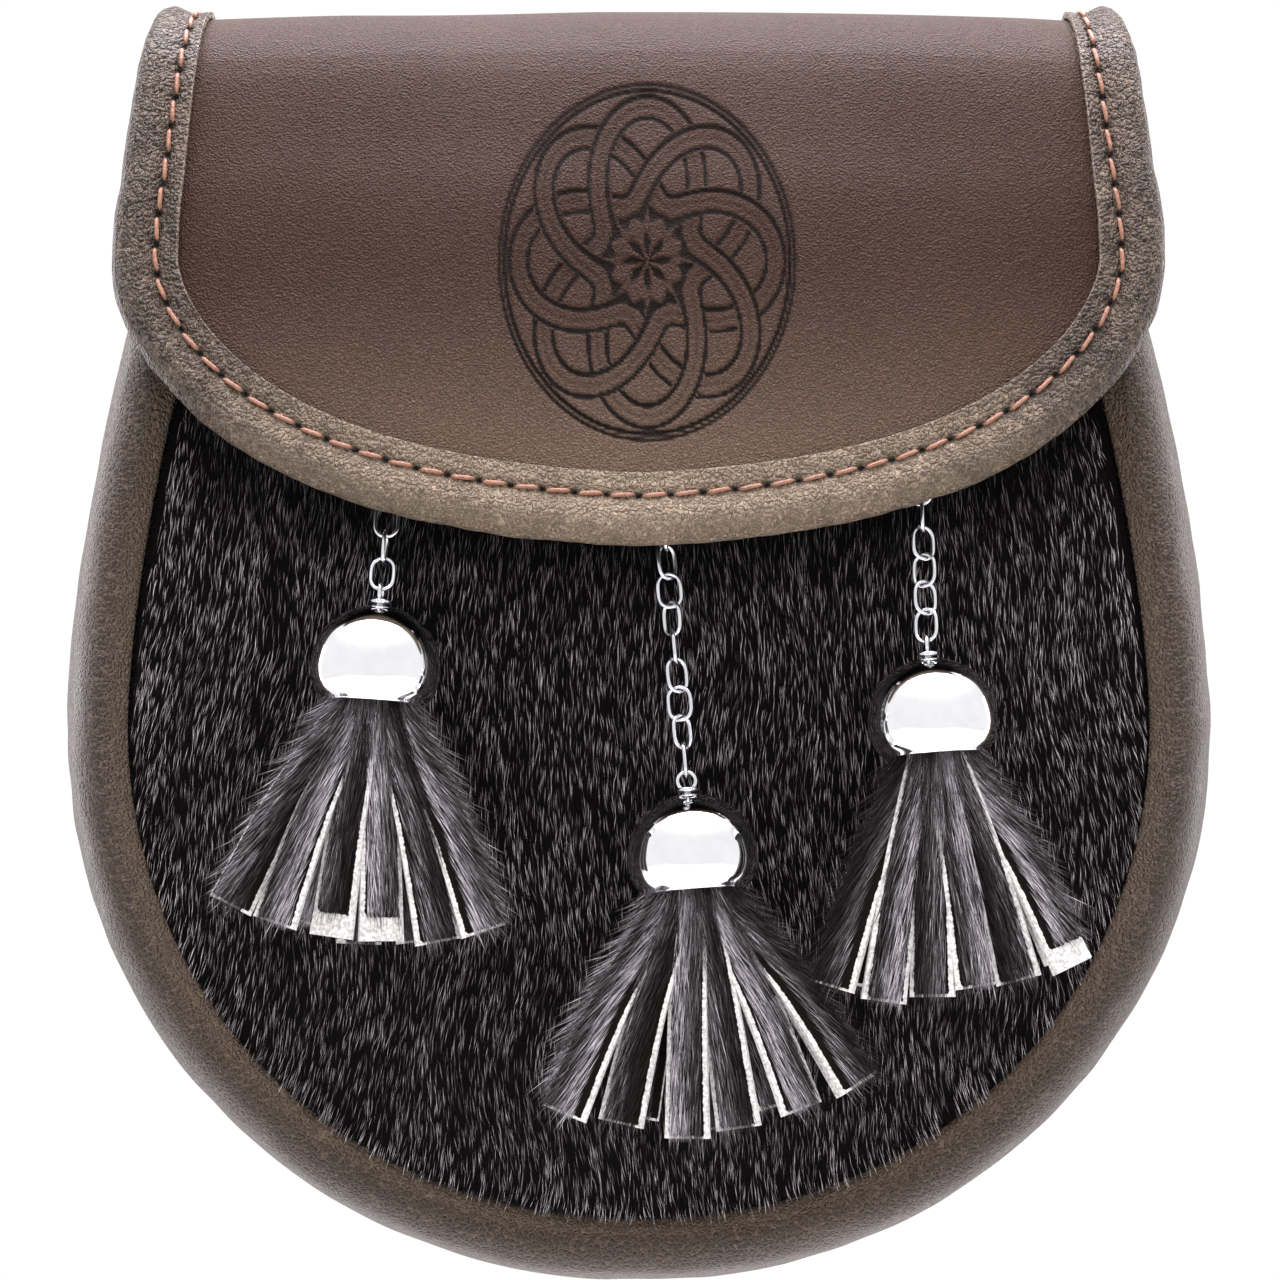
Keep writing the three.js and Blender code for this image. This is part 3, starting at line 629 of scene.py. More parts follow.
def hair_mesh(roots, ways, lifts, lengths, widths, rolls, lean):
    """Flat tapering hairs: each leaves its root, lies over and ends in a point."""
    side = unit(np.cross(ways, lifts))
    flat = unit(side * np.cos(rolls)[:, None] + lifts * np.sin(rolls)[:, None])
    rise = lengths * lean
    middle = roots + ways * (lengths * 0.5)[:, None] + lifts * rise[:, None]
    tip = roots + ways * lengths[:, None] + lifts * (rise * 1.1)[:, None]
    half = (widths / 2)[:, None]
    points = np.stack((roots - flat * half, roots + flat * half,
                       middle - flat * half, middle + flat * half, tip), 1)
    start = (np.arange(len(roots)) * 5)[:, None, None]
    faces = np.array(((0, 1, 3), (0, 3, 2), (2, 3, 4)))[None] + start
    return points.reshape(-1, 3), faces.reshape(-1, 3)


def hair_tones(tones):
    """Shade of each hair's points, a painted glint: dark root, bright middle, duller tip."""
    return (tones[:, None] * np.array((0.03, 0.03, 1.0, 1.0, 0.25))).ravel()


def stitch_run(points, normals, sizes, slant=0.16, lift=0.1, count=None):
    """Separate bowed stitches along a line on a surface."""
    pitch, span = sizes.stitch_pitch / MM, sizes.stitch_length / MM
    radius = sizes.thread_width / MM / 2
    run = run_length(points)
    count = count or max(int(run[-1] / pitch), 1)
    step = run[-1] / count
    t = np.linspace(-1, 1, STITCH_SAMPLES)
    parts = []
    for k in range(count):
        at = (k + 0.5) * step + t * span / 2
        line = read_off(at, run, points)
        out = unit(read_off(at, run, normals))
        aside = unit(np.cross(out, np.gradient(line, axis=0)))
        bow = lift + radius * 0.75 - (radius * 1.2 + lift) * np.abs(t) ** 5
        line = line + out * bow[:, None] + aside * (t * slant)[:, None]
        thick = radius * (1 - 0.45 * np.abs(t) ** 6)
        parts.append(tube_mesh(line, thick, 8, up=out[STITCH_SAMPLES // 2]))
    return joined(parts)


# Finishes

class Wire:
    """A shader socket that can be used in sums."""

    def __init__(self, tree, socket=None):
        self.tree = tree
        self.socket = socket

    def node(self, kind, settings=None, inputs=None, output=0):
        """Add a node, set it up, feed its sockets and give one of its outputs."""
        made = self.tree.nodes.new(kind)
        for key, value in (settings or {}).items():
            setattr(made, key, value)
        for key, value in (inputs or {}).items():
            if isinstance(value, Wire):
                self.tree.links.new(value.socket, made.inputs[key])
            else:
                made.inputs[key].default_value = value
        return Wire(self.tree, made.outputs[output])

    def maths(self, operation, *values):
        """One Math node on numbers or wires."""
        return self.node("ShaderNodeMath", {"operation": operation}, dict(enumerate(values)))

    def __add__(self, other):
        return self.maths("ADD", self, other)

    def __radd__(self, other):
        return self.maths("ADD", other, self)

    def __sub__(self, other):
        return self.maths("SUBTRACT", self, other)

    def __rsub__(self, other):
        return self.maths("SUBTRACT", other, self)

    def __mul__(self, other):
        return self.maths("MULTIPLY", self, other)

    def __rmul__(self, other):
        return self.maths("MULTIPLY", other, self)

    def step(self, low, high):
        """Soft step from 0 at low to 1 at high."""
        return self.node("ShaderNodeMapRange", {"interpolation_type": "SMOOTHSTEP"},
                         {"Value": self, "From Min": low, "From Max": high})

    def mix(self, first, second):
        """Colour between two, by this value."""
        return self.node("ShaderNodeMix", {"data_type": "RGBA"}, {0: self, 6: first, 7: second}, 2)


def rgba(shade, times=1.0):
    """Opaque colour, made darker by a factor."""
    return (*(part * times for part in shade), 1.0)


class Finish:
    """A material with one principled shader and its object coordinates."""

    def __init__(self, name, **constants):
        self.material = bpy.data.materials.new(name)
        self.material.use_nodes = True
        self.tree = self.material.node_tree
        self.shader = next(n for n in self.tree.nodes if n.type == "BSDF_PRINCIPLED")
        for key, value in constants.items():
            socket = key.replace("_", " ").title().replace("Ior", "IOR")
            self.shader.inputs[socket].default_value = value
        self.start = Wire(self.tree)
        self.place = self.start.node("ShaderNodeTexCoord", output="Object")

    def feed(self, socket, wire):
        """Link a wire to one of the shader's sockets."""
        self.tree.links.new(wire.socket, self.shader.inputs[socket])

    def noise(self, scale, detail, place=None):
        """Soft clouds from 0 to 1."""
        return self.start.node("ShaderNodeTexNoise", None, {
            "Vector": place or self.place, "Scale": scale, "Detail": detail}, "Fac")

    def cells(self, scale, feature="F1", place=None):
        """Distance to the middle or the edge of small cells."""
        return self.start.node("ShaderNodeTexVoronoi", {"feature": feature}, {
            "Vector": place or self.place, "Scale": scale}, "Distance")

    def creases(self, scale, width, detail, place=None):
        """Thin winding lines: 1 on a line, 0 off it."""
        height = self.noise(scale, detail, place) * 2 - 1
        return 1 - height.maths("ABSOLUTE", height).step(0.0, width)

    def warped(self, scale, amount):
        """Object coordinates pushed about by noise."""
        push = self.start.node("ShaderNodeTexNoise", None, {
            "Vector": self.place, "Scale": scale, "Detail": 2.0}, "Color")
        shift = self.start.node("ShaderNodeVectorMath", {"operation": "SCALE"}, {
            0: push, "Scale": amount})
        return self.start.node("ShaderNodeVectorMath", {"operation": "ADD"}, {0: self.place, 1: shift})

    def value(self, name):
        """A number kept on the mesh's points."""
        return self.start.node("ShaderNodeAttribute", {"attribute_name": name}, None, "Fac")

    def bump(self, height, distance, strength=1.0):
        """Fine relief of the surface."""
        self.feed("Normal", self.start.node("ShaderNodeBump", None, {
            "Height": height, "Distance": distance, "Strength": strength}))


def flap_finish(colours):
    """Smooth brown leather with a fine grain, burnt lines and a painted sheen towards the lip."""
    leather = Finish("flap_leather", specular_ior_level=0.14)
    fine = leather.cells(2600.0, place=leather.warped(900.0, 0.0003))
    grain = leather.noise(3400.0, 3.0)
    cloud = leather.noise(26.0, 3.0)
    burn = leather.value("burn")
    tone = cloud.step(0.35, 0.7).mix(rgba(colours.flap), rgba(colours.flap_sheen))
    speck = grain.step(0.46, 0.7)
    rubbed = tuple(min(1.0, c * 1.9 + 0.004) for c in colours.flap_sheen)
    tone = speck.mix(tone, rgba(rubbed))
    pore = (1 - fine.step(0.0, 0.42)) * 0.5
    tone = pore.mix(tone, rgba(colours.flap, 0.42))
    # Painted sheen, paler towards the lip
    tone = (leather.value("lightened") * (0.5 + speck * 0.45)).mix(tone, rgba(colours.flap_lip_sheen))
    leather.feed("Base Color", burn.step(0.05, 0.7).mix(tone, rgba(colours.burnt)))
    leather.feed("Roughness", 0.36 + grain * 0.18 + burn * 0.3)
    leather.bump(fine * 0.6 + grain * 0.8, 0.00034)
    return leather.material


def binding_finish(colours):
    """Soft olive brown leather with rubbed creases, dark needle holes, a pale cut edge and a lip paled
    partly by wear and partly by painted highlight.
    """
    leather = Finish("binding_leather", specular_ior_level=0.28, coat_weight=0.08, coat_roughness=0.3)
    place = leather.warped(420.0, 0.0012)
    cracks = leather.creases(520.0, 0.3, 1.5, place)
    fine = leather.creases(1000.0, 0.32, 1.5)
    cells = leather.cells(1200.0, "DISTANCE_TO_EDGE", place)
    patch = leather.noise(120.0, 3.0)
    crease = cracks * 0.22 + fine * 0.28 + (1 - cells.step(0.0, 0.12)) * 0.34
    crease = crease * (0.55 + 0.45 * patch.step(0.32, 0.62))
    brightened = leather.value("brightened")
    tone = patch.step(0.3, 0.75).mix(rgba(colours.binding, 0.7), rgba(colours.binding))
    # Paler towards the lip: partly wear, partly painted highlight
    tone = (brightened * (0.64 + patch * 0.5)).mix(tone, rgba(colours.crease))
    tone = crease.mix(tone, (brightened * 0.6).mix(rgba(colours.crease), rgba(colours.rubbed)))
    tone = leather.value("hole").mix(tone, rgba(HOLE_SHADE))
    tone = leather.value("cut").mix(tone, rgba(colours.cut_edge))
    leather.feed("Base Color", tone)
    leather.feed("Roughness", 0.36 + patch * 0.16)
    leather.bump(cells.step(0.0, 0.3) - cracks * 0.7 - fine * 0.5, 0.0008)
    return leather.material


def body_finish(colours):
    """Pebbled brown leather of the gusset, back and loop."""
    leather = Finish("body_leather", specular_ior_level=0.36, coat_weight=0.14, coat_roughness=0.3)
    web = leather.cells(1150.0, "DISTANCE_TO_EDGE", leather.warped(500.0, 0.0012))
    fine = leather.creases(1500.0, 0.26, 1.0)
    grain = leather.noise(4600.0, 3.0)
    patch = leather.noise(60.0, 4.0)
    tone = patch.step(0.3, 0.72).mix(rgba(colours.body, 0.72), rgba(colours.body))
    # Paler along the crest of the gusset's roll
    tone = (leather.value("brightened") * 0.45).mix(tone, rgba(colours.crease))
    line = (1 - web.step(0.0, 0.14)) * 0.26 + fine * 0.12
    tone = line.mix(tone, rgba(colours.crease))
    tone = (grain.step(0.52, 0.76) * 0.25).mix(tone, rgba(colours.crease))
    leather.feed("Base Color", tone)
    leather.feed("Roughness", 0.38 + patch * 0.2)
    leather.bump(web.step(0.0, 0.3) - fine * 0.3 + grain * 0.3, 0.0009)
    return leather.material


def hair_finish(name, dark, light):
    """Dull hair, some of it with painted glints."""
    hair = Finish(name, roughness=0.55, specular_ior_level=0.04)
    hair.feed("Base Color", hair.value("tone").mix(rgba(dark), rgba(light)))
    return hair.material


def skin_finish(name, dark, flesh):
    """Hide under the hair, with a pale flesh side and cut edges."""
    hide = Finish(name, specular_ior_level=0.06)
    fibre = hide.noise(1700.0, 4.0)
    pale = (hide.value("flesh") + fibre * 0.7 - 0.35).step(0.42, 0.56)
    soft = fibre.step(0.34, 0.6).mix(rgba(flesh, 0.6), rgba(flesh))
    hide.feed("Base Color", pale.mix(rgba(dark), soft))
    hide.feed("Roughness", 0.6 + fibre * 0.3)
    hide.bump(fibre, 0.0004, 0.8)
    return hide.material


def thread_finish(colours):
    """Waxed thread with uneven fibres."""
    thread = Finish("waxed_thread", specular_ior_level=0.5)
    fibre = thread.noise(2600.0, 3.0)
    tone = fibre.step(0.3, 0.75).mix(rgba(colours.thread, 0.55), rgba(colours.thread))
    thread.feed("Base Color", tone)
    thread.feed("Roughness", 0.4 + fibre * 0.25)
    thread.bump(fibre, 0.0001, 0.7)
    return thread.material


def metal_finish(name, shade, low, high):
    """Plated metal with faint wipe marks."""
    metal = Finish(name, metallic=1.0)
    marks = metal.noise(320.0, 4.0)
    metal.feed("Base Color", marks.step(0.3, 0.8).mix(rgba(shade), rgba(shade, 0.93)))
    metal.feed("Roughness", low + marks * (high - low))
    return metal.material


def settings():
    """The scene's own colours and sizes."""
    sporran = bpy.context.scene.sporran
    return sporran.colours, sporran.sizes


# Pieces

class SPORRAN_OT_gusset(bpy.types.Operator):
    """Leather wall round the pouch, rolled over at the front"""
    bl_idname = "sporran.gusset"
    bl_label = "Gusset"

    def execute(self, context):
        colours, _ = settings()
        points, inward = outline(MOUTH_Z, 60, 190)
        section = along(GUSSET_SECTION, np.linspace(0, 1, GUSSET_LANES))
        depth = depth_at(points[:, 1])[:, None]
        back = BACK_WALL + GAP
        inset = np.broadcast_to(section[None, :, 0], (len(points), GUSSET_LANES))
        y = section[None, :, 2] - (back + (depth - back) * section[None, :, 1])
        run = np.stack((np.gradient(inset, axis=1), np.gradient(y, axis=1)), -1)
        offset = unit(np.stack((-run[..., 1], run[..., 0]), -1)) * GUSSET_WALL
        offset[:, 0] = (GUSSET_WALL, 0)

        def place(inset, y):
            """Points of the wall, by distance in from the outline and depth."""
            at = points[:, None] + inward[:, None] * inset[..., None]
            return np.stack((at[..., 0], y, at[..., 1]), -1)

        outer = place(inset, y)
        dent = waves(outer, 34.0, 5) * 0.12 + waves(outer, 13.0, 6) * 0.08
        dent *= np.sin(np.linspace(0, math.pi, GUSSET_LANES)) ** 0.6
        outer = place(inset + np.maximum(dent, -0.2) * 0.9, y + dent * 0.4)
        inner = place(inset + offset[..., 0], y + offset[..., 1])
        lane = np.arange(GUSSET_LANES)
        # Paler along the crest of the roll
        lightened = smooth(lane, *LIGHTER_STARTS) * (1 - smooth(lane, *LIGHTER_ENDS))
        make_piece("gusset_leather", *sheet_mesh(outer, inner), body_finish(colours),
                   ("gusset",), "body_leather", sharp=50,
                   values={"brightened": outer_only(np.tile(lightened, len(points)))})
        return {"FINISHED"}


class SPORRAN_OT_back(bpy.types.Operator):
    """Flat leather back with its sewn edge"""
    bl_idname = "sporran.back"
    bl_label = "Back panel"

    def execute(self, context):
        colours, sizes = settings()
        points, inward = outline(BACK_TOP_Z, 60, 160)
        count = len(points)

        def ring_at(inset, y):
            """Ring round the panel, in from its edge and at one depth."""
            at = points + inward * (BACK_INSET + inset)
            return np.stack((at[:, 0], np.full(count, y), at[:, 1]), -1)

        rings = [ring_at(inset, y) for inset, y in BACK_EDGE]
        faces = [list(face) for face in grid_faces(len(rings), count, False, True)]
        here = np.arange(count)
        beside = (here + 1) % count
        insides = []
        for ring in (0, len(rings) - 1):
            middle = np.array((0.0, BACK_EDGE[ring][1], FRONT_CENTRE_Z))
            starts = [ring * count]
            for k in range(1, BACK_STEPS):
                starts.append((len(rings) + len(insides)) * count)
                insides.append(rings[ring] + (middle - rings[ring]) * (k / BACK_STEPS))
            for a, b in zip(starts, starts[1:]):
                faces.extend(np.stack((a + here, b + here, b + beside, a + beside), -1).tolist())
            faces.append([starts[-1] + k for k in range(count)])
        make_piece("back_leather", np.concatenate(rings + insides), faces, body_finish(colours),
                   ("back_panel",), "body_leather", sharp=60)
        path = ring_at(BACK_SEAM, 0.0)[BACK_UNSEWN:-BACK_UNSEWN]
        normals = np.tile(BACKWARD, (len(path), 1))
        make_piece("back_stitches", *stitch_run(path, normals, sizes), thread_finish(colours))
        return {"FINISHED"}


def front_strands(sign, sizes):
    """Points, faces and tones of the hair on one half of the front."""
    draw = np.random.default_rng(21 + sign)
    count = sizes.hair_count
    full = sizes.hair_length / MM
    x = draw.uniform(0, FRONT_HALF, count * 2) * sign
    z = draw.uniform(FRONT_FOOT_Z, MOUTH_Z, count * 2)
    inside = np.flatnonzero(front_share(x, z) < 0.997 - 0.012 * smooth(z, -80, -20))[:count]
    x, z = x[inside], z[inside]
    count = len(x)
    share = front_share(x, z)
    low = smooth(-z, 60, 125)
    flow = np.stack((x, np.zeros(count), z), -1)
    aside = waves(flow, 34.0, 8) * 0.06 + waves(flow, 7.0, 9) * 0.05 + draw.normal(0, 0.09, count)
    aside += 0.12 * x / FRONT_HALF + 0.3 * sign * smooth(share, 0.93, 1) * low
    normal = front_normal(x, z)
    down = np.stack((aside, np.zeros(count), -np.ones(count)), -1)
    way = unit(down - normal * np.sum(down * normal, -1, keepdims=True))
    root = np.stack((x, front_y(x, z) + HIDE_UNDER_HAIR + 0.1, z), -1)
    long = full * draw.uniform(0.7, 1.25, count)
    limit = 1.0 + draw.uniform(0, 0.04, count) * low
    # Hairs that would pass the edge are cut shorter step by step
    for reach in np.linspace(1.0, 0.1, 10):
        tip = root + way * long[:, None]
        past = front_share(tip[:, 0], tip[:, 2]) > limit
        long = np.where(past, np.minimum(long, full * reach), long)
    rolls = draw.normal(0, 0.5, count)
    width = sizes.hair_width / MM * draw.uniform(0.6, 1.3, count)
    lift = unit(normal + way * 0.05)
    lean = 0.16 + 0.3 * smooth(share, 0.92, 1) * low
    strands, faces = hair_mesh(root, way, lift, long, width, rolls, lean)
    # Painted glints: some hairs bright along their middles, in streaks
    lit = np.where(draw.uniform(size=count) < 0.36, draw.uniform(0.12, 1.1, count), 0.006)
    streak = np.clip(waves(flow * (1, 1, 0.3), 6.0, 12) * 0.25 + 0.5, 0, 1)
    # Painted highlights along the upper side edges and at the bottom hem; darker over the rest of the
    # lower front
    edge = 1.6 * smooth(share, 0.93, 0.975) * smooth(z, -90, -40)
    hem = 0.6 * smooth(share, 0.94, 0.985) * low - 0.2 * low
    lip = flap_middle(lip_share(np.clip(x / CORNER_HALF, -1, 1)), x)[:, 2]
    shade = 0.4 + 0.6 * smooth(lip - z, 3, 20)
    tone = lit * (0.45 + streak) * (1 + edge + hem) * shade
    return strands, faces, hair_tones(np.clip(tone, 0, 1))


class SPORRAN_OT_front(bpy.types.Operator):
    """Hide front with its hair"""
    bl_idname = "sporran.front"
    bl_label = "Fur front"

    def execute(self, context):
        colours, sizes = settings()
        points, inward = outline(MOUTH_Z, 50, 150)
        seam = points + inward * FRONT_INSET
        edge = seam[-1] + (seam[0] - seam[-1]) * np.linspace(0, 1, 60)[1:, None]
        loop = np.concatenate((seam, edge))
        share = np.concatenate(((0.0, 0.04), np.linspace(0.1, 1, 17)))[:, None]
        x = loop[None, :, 0] * share
        z = FRONT_CENTRE_Z + (loop[None, :, 1] - FRONT_CENTRE_Z) * share
        y = FRONT_RECESS - depth_at(z) - FRONT_DOME * (1 - share**FRONT_DOME_POWER)
        outer = np.stack((x, y + HIDE_UNDER_HAIR, z), -1)
        inner = np.stack((x, y + FRONT_WALL, z), -1)
        mesh_points, faces = sheet_mesh(outer, inner, True)
        flesh = np.repeat((0.0, 1.0), len(mesh_points) // 2)
        dark = tuple(part * 0.8 for part in colours.hair_dark)
        make_piece("front_hide", mesh_points, faces, skin_finish("front_hide", dark, colours.flesh),
                   ("front_panel",), "fur", sharp=60, values={"flesh": flesh})
        hair = hair_finish("front_hair", colours.hair_dark, colours.hair_glint)
        for half, sign in (("left", -1), ("right", 1)):
            strands, faces, tones = front_strands(sign, sizes)
            make_piece(f"front_hair_{half}", strands, faces, hair, slot="fur", tidy=False,
                       values={"tone": tones})
        return {"FINISHED"}


def knot_masks(x, z):
    """Burnt lines and tinted bands of a woven ring, at points on the flap."""
    across, up = (x - KNOT_X) / KNOT_WIDE, (z - KNOT_Z) / KNOT_TALL
    radius, angle = np.hypot(across, up), np.arctan2(up, across)
    scale = (KNOT_WIDE + KNOT_TALL) / 2
    layers = []
    for turn in range(KNOT_TURNS):
        phase = KNOT_PETALS * (angle + 2 * math.pi * turn) / KNOT_TURNS
        target = KNOT_MIDDLE + KNOT_SWING * np.cos(phase)
        slope = -KNOT_SWING * np.sin(phase) * KNOT_PETALS / KNOT_TURNS / np.maximum(radius, 0.1)
        distance = np.abs(radius - target) * scale / np.sqrt(1 + slope**2)
        layers.append((distance, np.sin(phase)))
    burn, tint = np.zeros_like(x), np.zeros_like(x)
    for distance, height in layers:
        hidden = np.zeros_like(x, bool)
        for other, over in layers:
            if other is not distance:
                hidden |= (over > height) & (other < KNOT_BAND + 0.55)
        shown = np.where(hidden, 0.0, 1.0)
        rim = 1 - smooth(np.abs(distance - KNOT_BAND), KNOT_LINE * 0.55, KNOT_LINE * 1.5)
        core = 1 - smooth(distance, 0.12, 0.42)
        burn = np.maximum(burn, np.maximum(rim, core * 0.25) * shown)
        tint = np.maximum(tint, (1 - smooth(distance, KNOT_BAND - 0.4, KNOT_BAND)) * shown)
    for target, strength in KNOT_RINGS:
        ring = 1 - smooth(np.abs(radius - target) * scale, KNOT_LINE * 0.5, KNOT_LINE * 1.4)
        burn = np.maximum(burn, ring * strength)
    return burn, tint


class SPORRAN_OT_flap(bpy.types.Operator):
    """Flap leather with an engraved knot"""
    bl_idname = "sporran.flap"
    bl_label = "Flap"

    def execute(self, context):
        colours, sizes = settings()
        # Columns and rows stand closer where the knot is
        across = np.concatenate((-np.sin(np.linspace(math.pi / 2, 0.31, 22))[:-1],
                                 np.linspace(-0.29, 0.33, 138),
                                 np.sin(np.linspace(0.35, math.pi / 2, 22))[1:]))
        upper = np.concatenate((np.linspace(0, 0.66, 28), np.linspace(0.66, CORNER_SHARE, 92)[1:]))
        lower = np.concatenate((np.linspace(0, 0.66, 78)[1:], np.linspace(0.66, 1, 14)[1:]))
        half = along(FLAP_ROWS, upper)[:, 2]
        share = np.concatenate((
            np.broadcast_to(upper[:, None], (len(upper), len(across))),
            CORNER_SHARE + (lip_share(across)[None] - CORNER_SHARE) * lower[:, None]))
        x = np.concatenate((across[None] * half[:, None],
                            np.broadcast_to(across[None] * CORNER_HALF, (len(lower), len(across)))))
        middle, normal = flap_middle(share, x), flap_normal(share, x)
        outer = middle + normal * (FLAP_WALL / 2)
        inner = middle - normal * (FLAP_WALL / 2)
        front = share > 0.6
        burn, tint = (np.where(front, mask, 0) for mask in knot_masks(outer[..., 0], outer[..., 2]))
        settle = np.maximum(waves(outer, 60.0, 15) * 0.16, 0)
        outer = outer - normal * (burn * sizes.groove / MM + tint * 0.12 + settle)[..., None]
        shade = (burn * 0.9 + tint * 0.08).clip(0, 1)
        # Painted sheen on the flap, growing towards the lip
        lightened = np.where(front, np.clip((share - CORNER_SHARE) / 0.1, 0, 1) ** 1.7, 0)
        make_piece("flap_leather", *sheet_mesh(outer, inner), flap_finish(colours), ("flap",),
                   "flap_leather", sharp=60,
                   values={"burn": outer_only(shade), "lightened": outer_only(lightened)})
        foot_x = np.linspace(-FOOT_SEAM_HALF, FOOT_SEAM_HALF, 80)
        normal = flap_normal(FOOT_SEAM_SHARE, foot_x)
        line = flap_middle(FOOT_SEAM_SHARE, foot_x) + normal * (FLAP_WALL / 2)
        make_piece("flap_foot_stitches", *stitch_run(line, normal, sizes), thread_finish(colours))
        return {"FINISHED"}


class SPORRAN_OT_binding(bpy.types.Operator):
    """Binding folded over the flap's edge, with its stitches"""
    bl_idname = "sporran.binding"
    bl_label = "Flap binding"

    def execute(self, context):
        colours, sizes = settings()
        count = 1000
        middle, inward, normal, width, grow = binding_path(count)
        share = np.concatenate((np.linspace(0, 0.3, 22)[:-1], np.linspace(0.3, 1, 10)))
        section = along(BINDING_SECTION, share)
        skin = np.stack((section[None, :, 0] * width[:, None],
                         np.broadcast_to(section[None, :, 1], (count, len(share)))), -1)
        slope = np.gradient(skin, axis=1)
        inside = unit(np.stack((-slope[..., 1], slope[..., 0]), -1))
        lining = skin + inside * BINDING_WALL
        lane = np.arange(len(share))
        front = np.where(lane < BINDING_FRONT_LANES, 1.0, 0.0)[None]
        seam = width - (SEAM_IN + SEAM_IN_LIP * grow)
        off_seam = np.abs(skin[..., 0] - seam[:, None])
        groove = np.exp(-(off_seam / SEAM_SPREAD) ** 2) * SEAM_GROOVE * front
        facing = skin[:, BINDING_FRONT_LANES - 1::-1]
        height = np.array([np.interp(at, *row.T) for at, row in zip(seam, facing)])
        line = (middle + inward * (seam - BINDING_OVERHANG)[:, None]
                + normal * (height - SEAM_GROOVE)[:, None])
        run = run_length(line)
        stitches = int(run[-1] / (sizes.stitch_pitch / MM))
        step = run[-1] / stitches
        off_hole = (run - np.round(run / step) * step)[:, None]
        hole = np.exp(-((off_hole / HOLE_ALONG) ** 2 + (off_seam / HOLE_ACROSS) ** 2)) * front
        swell = -np.cos((run / step)[:, None] * 2 * math.pi) * SEAM_PUFF
        puff = np.clip(1 - off_seam / PUFF_REACH, 0, 1) * swell * front
        skin[..., 1] += puff - groove - hole * HOLE_DEPTH

        def place(section_points):
            """Points of the section carried round the flap's edge."""
            return (middle[:, None] + inward[:, None] * (section_points[..., :1] - BINDING_OVERHANG)
                    + normal[:, None] * section_points[..., 1:])

        outer = place(skin)
        wrinkle = waves(outer, 6.0, 31) * 0.06 + waves(outer, 18.0, 32) * 0.06
        wrinkle *= np.clip(off_seam / PUFF_REACH, 0, 1) * np.sin(share * math.pi)[None]
        outer = place(skin - inside * wrinkle[..., None])
        cut = np.tile(np.where(lane == 0, 0.5, 0.0), 2 * count)
        # Paler towards the lip: partly wear, partly painted highlight
        lightened = smooth(-middle[:, 2], 12, 42)[:, None] * np.where(share < 0.62, 1.0, 0.0)[None]
        make_piece("binding_leather", *sheet_mesh(outer, place(lining)), binding_finish(colours),
                   ("flap_binding",), "binding_leather", sharp=70,
                   values={"cut": cut, "hole": outer_only(np.clip(hole * 2.2, 0, 1)),
                           "brightened": outer_only(lightened)})
        thread = stitch_run(line, normal, sizes, lift=0.12, count=stitches)
        make_piece("binding_stitches", *thread, thread_finish(colours))
        return {"FINISHED"}


class SPORRAN_OT_loop(bpy.types.Operator):
    """Strap loop on the back, sewn above and below the strap"""
    bl_idname = "sporran.loop"
    bl_label = "Strap loop"

    def execute(self, context):
        colours, sizes = settings()
        low, high = GAP, PASSAGE_DEPTH
        half = PASSAGE_HEIGHT / 2
        bend, crown = half + 0.6, half + LOOP_RAMP * 0.4
        ramp = half + LOOP_RAMP
        foot = ramp + LOOP_FOOT
        inner = np.array(((low, foot), (low, bend), (high, half),
                          (high, -half), (low, -bend), (low, -foot)))
        outer = np.array(((low, foot), (low, ramp), (high, crown),
                          (high, -crown), (low, -ramp), (low, -foot))) + (LOOP_WALL, 0)
        x = np.linspace(-LOOP_WIDTH / 2, LOOP_WIDTH / 2, 25)
        even = np.linspace(0, 1, 70)
        grids = []
        for profile in (outer, inner):
            run = run_length(profile)
            y, z = read_off(even * run[-1], run, profile).T
            grid = np.broadcast_arrays(x[None], y[:, None], z[:, None] + LOOP_MIDDLE_Z)
            grids.append(np.stack(grid, -1))
        loop = make_piece("loop_leather", *sheet_mesh(*grids), body_finish(colours), ("strap_loop",),
                          "body_leather", sharp=38)
        bevel = loop.modifiers.new("rounded_edges", "BEVEL")
        bevel.width = LOOP_ROUNDING * MM
        bevel.segments = 3
        bevel.limit_method = "ANGLE"
        bevel.angle_limit = math.radians(50)
        thread = thread_finish(colours)
        side = LOOP_WIDTH / 2 - LOOP_SEAM_IN
        across = np.linspace(-side, side, 40)
        normals = np.tile(BACKWARD, (len(across), 1))
        for name, z in (("upper", ramp + LOOP_FOOT / 2), ("lower", -ramp - LOOP_FOOT / 2)):
            line = np.stack(np.broadcast_arrays(across, GAP + LOOP_WALL, z + LOOP_MIDDLE_Z), -1)
            make_piece(f"loop_stitches_{name}", *stitch_run(line, normals, sizes), thread)
        return {"FINISHED"}


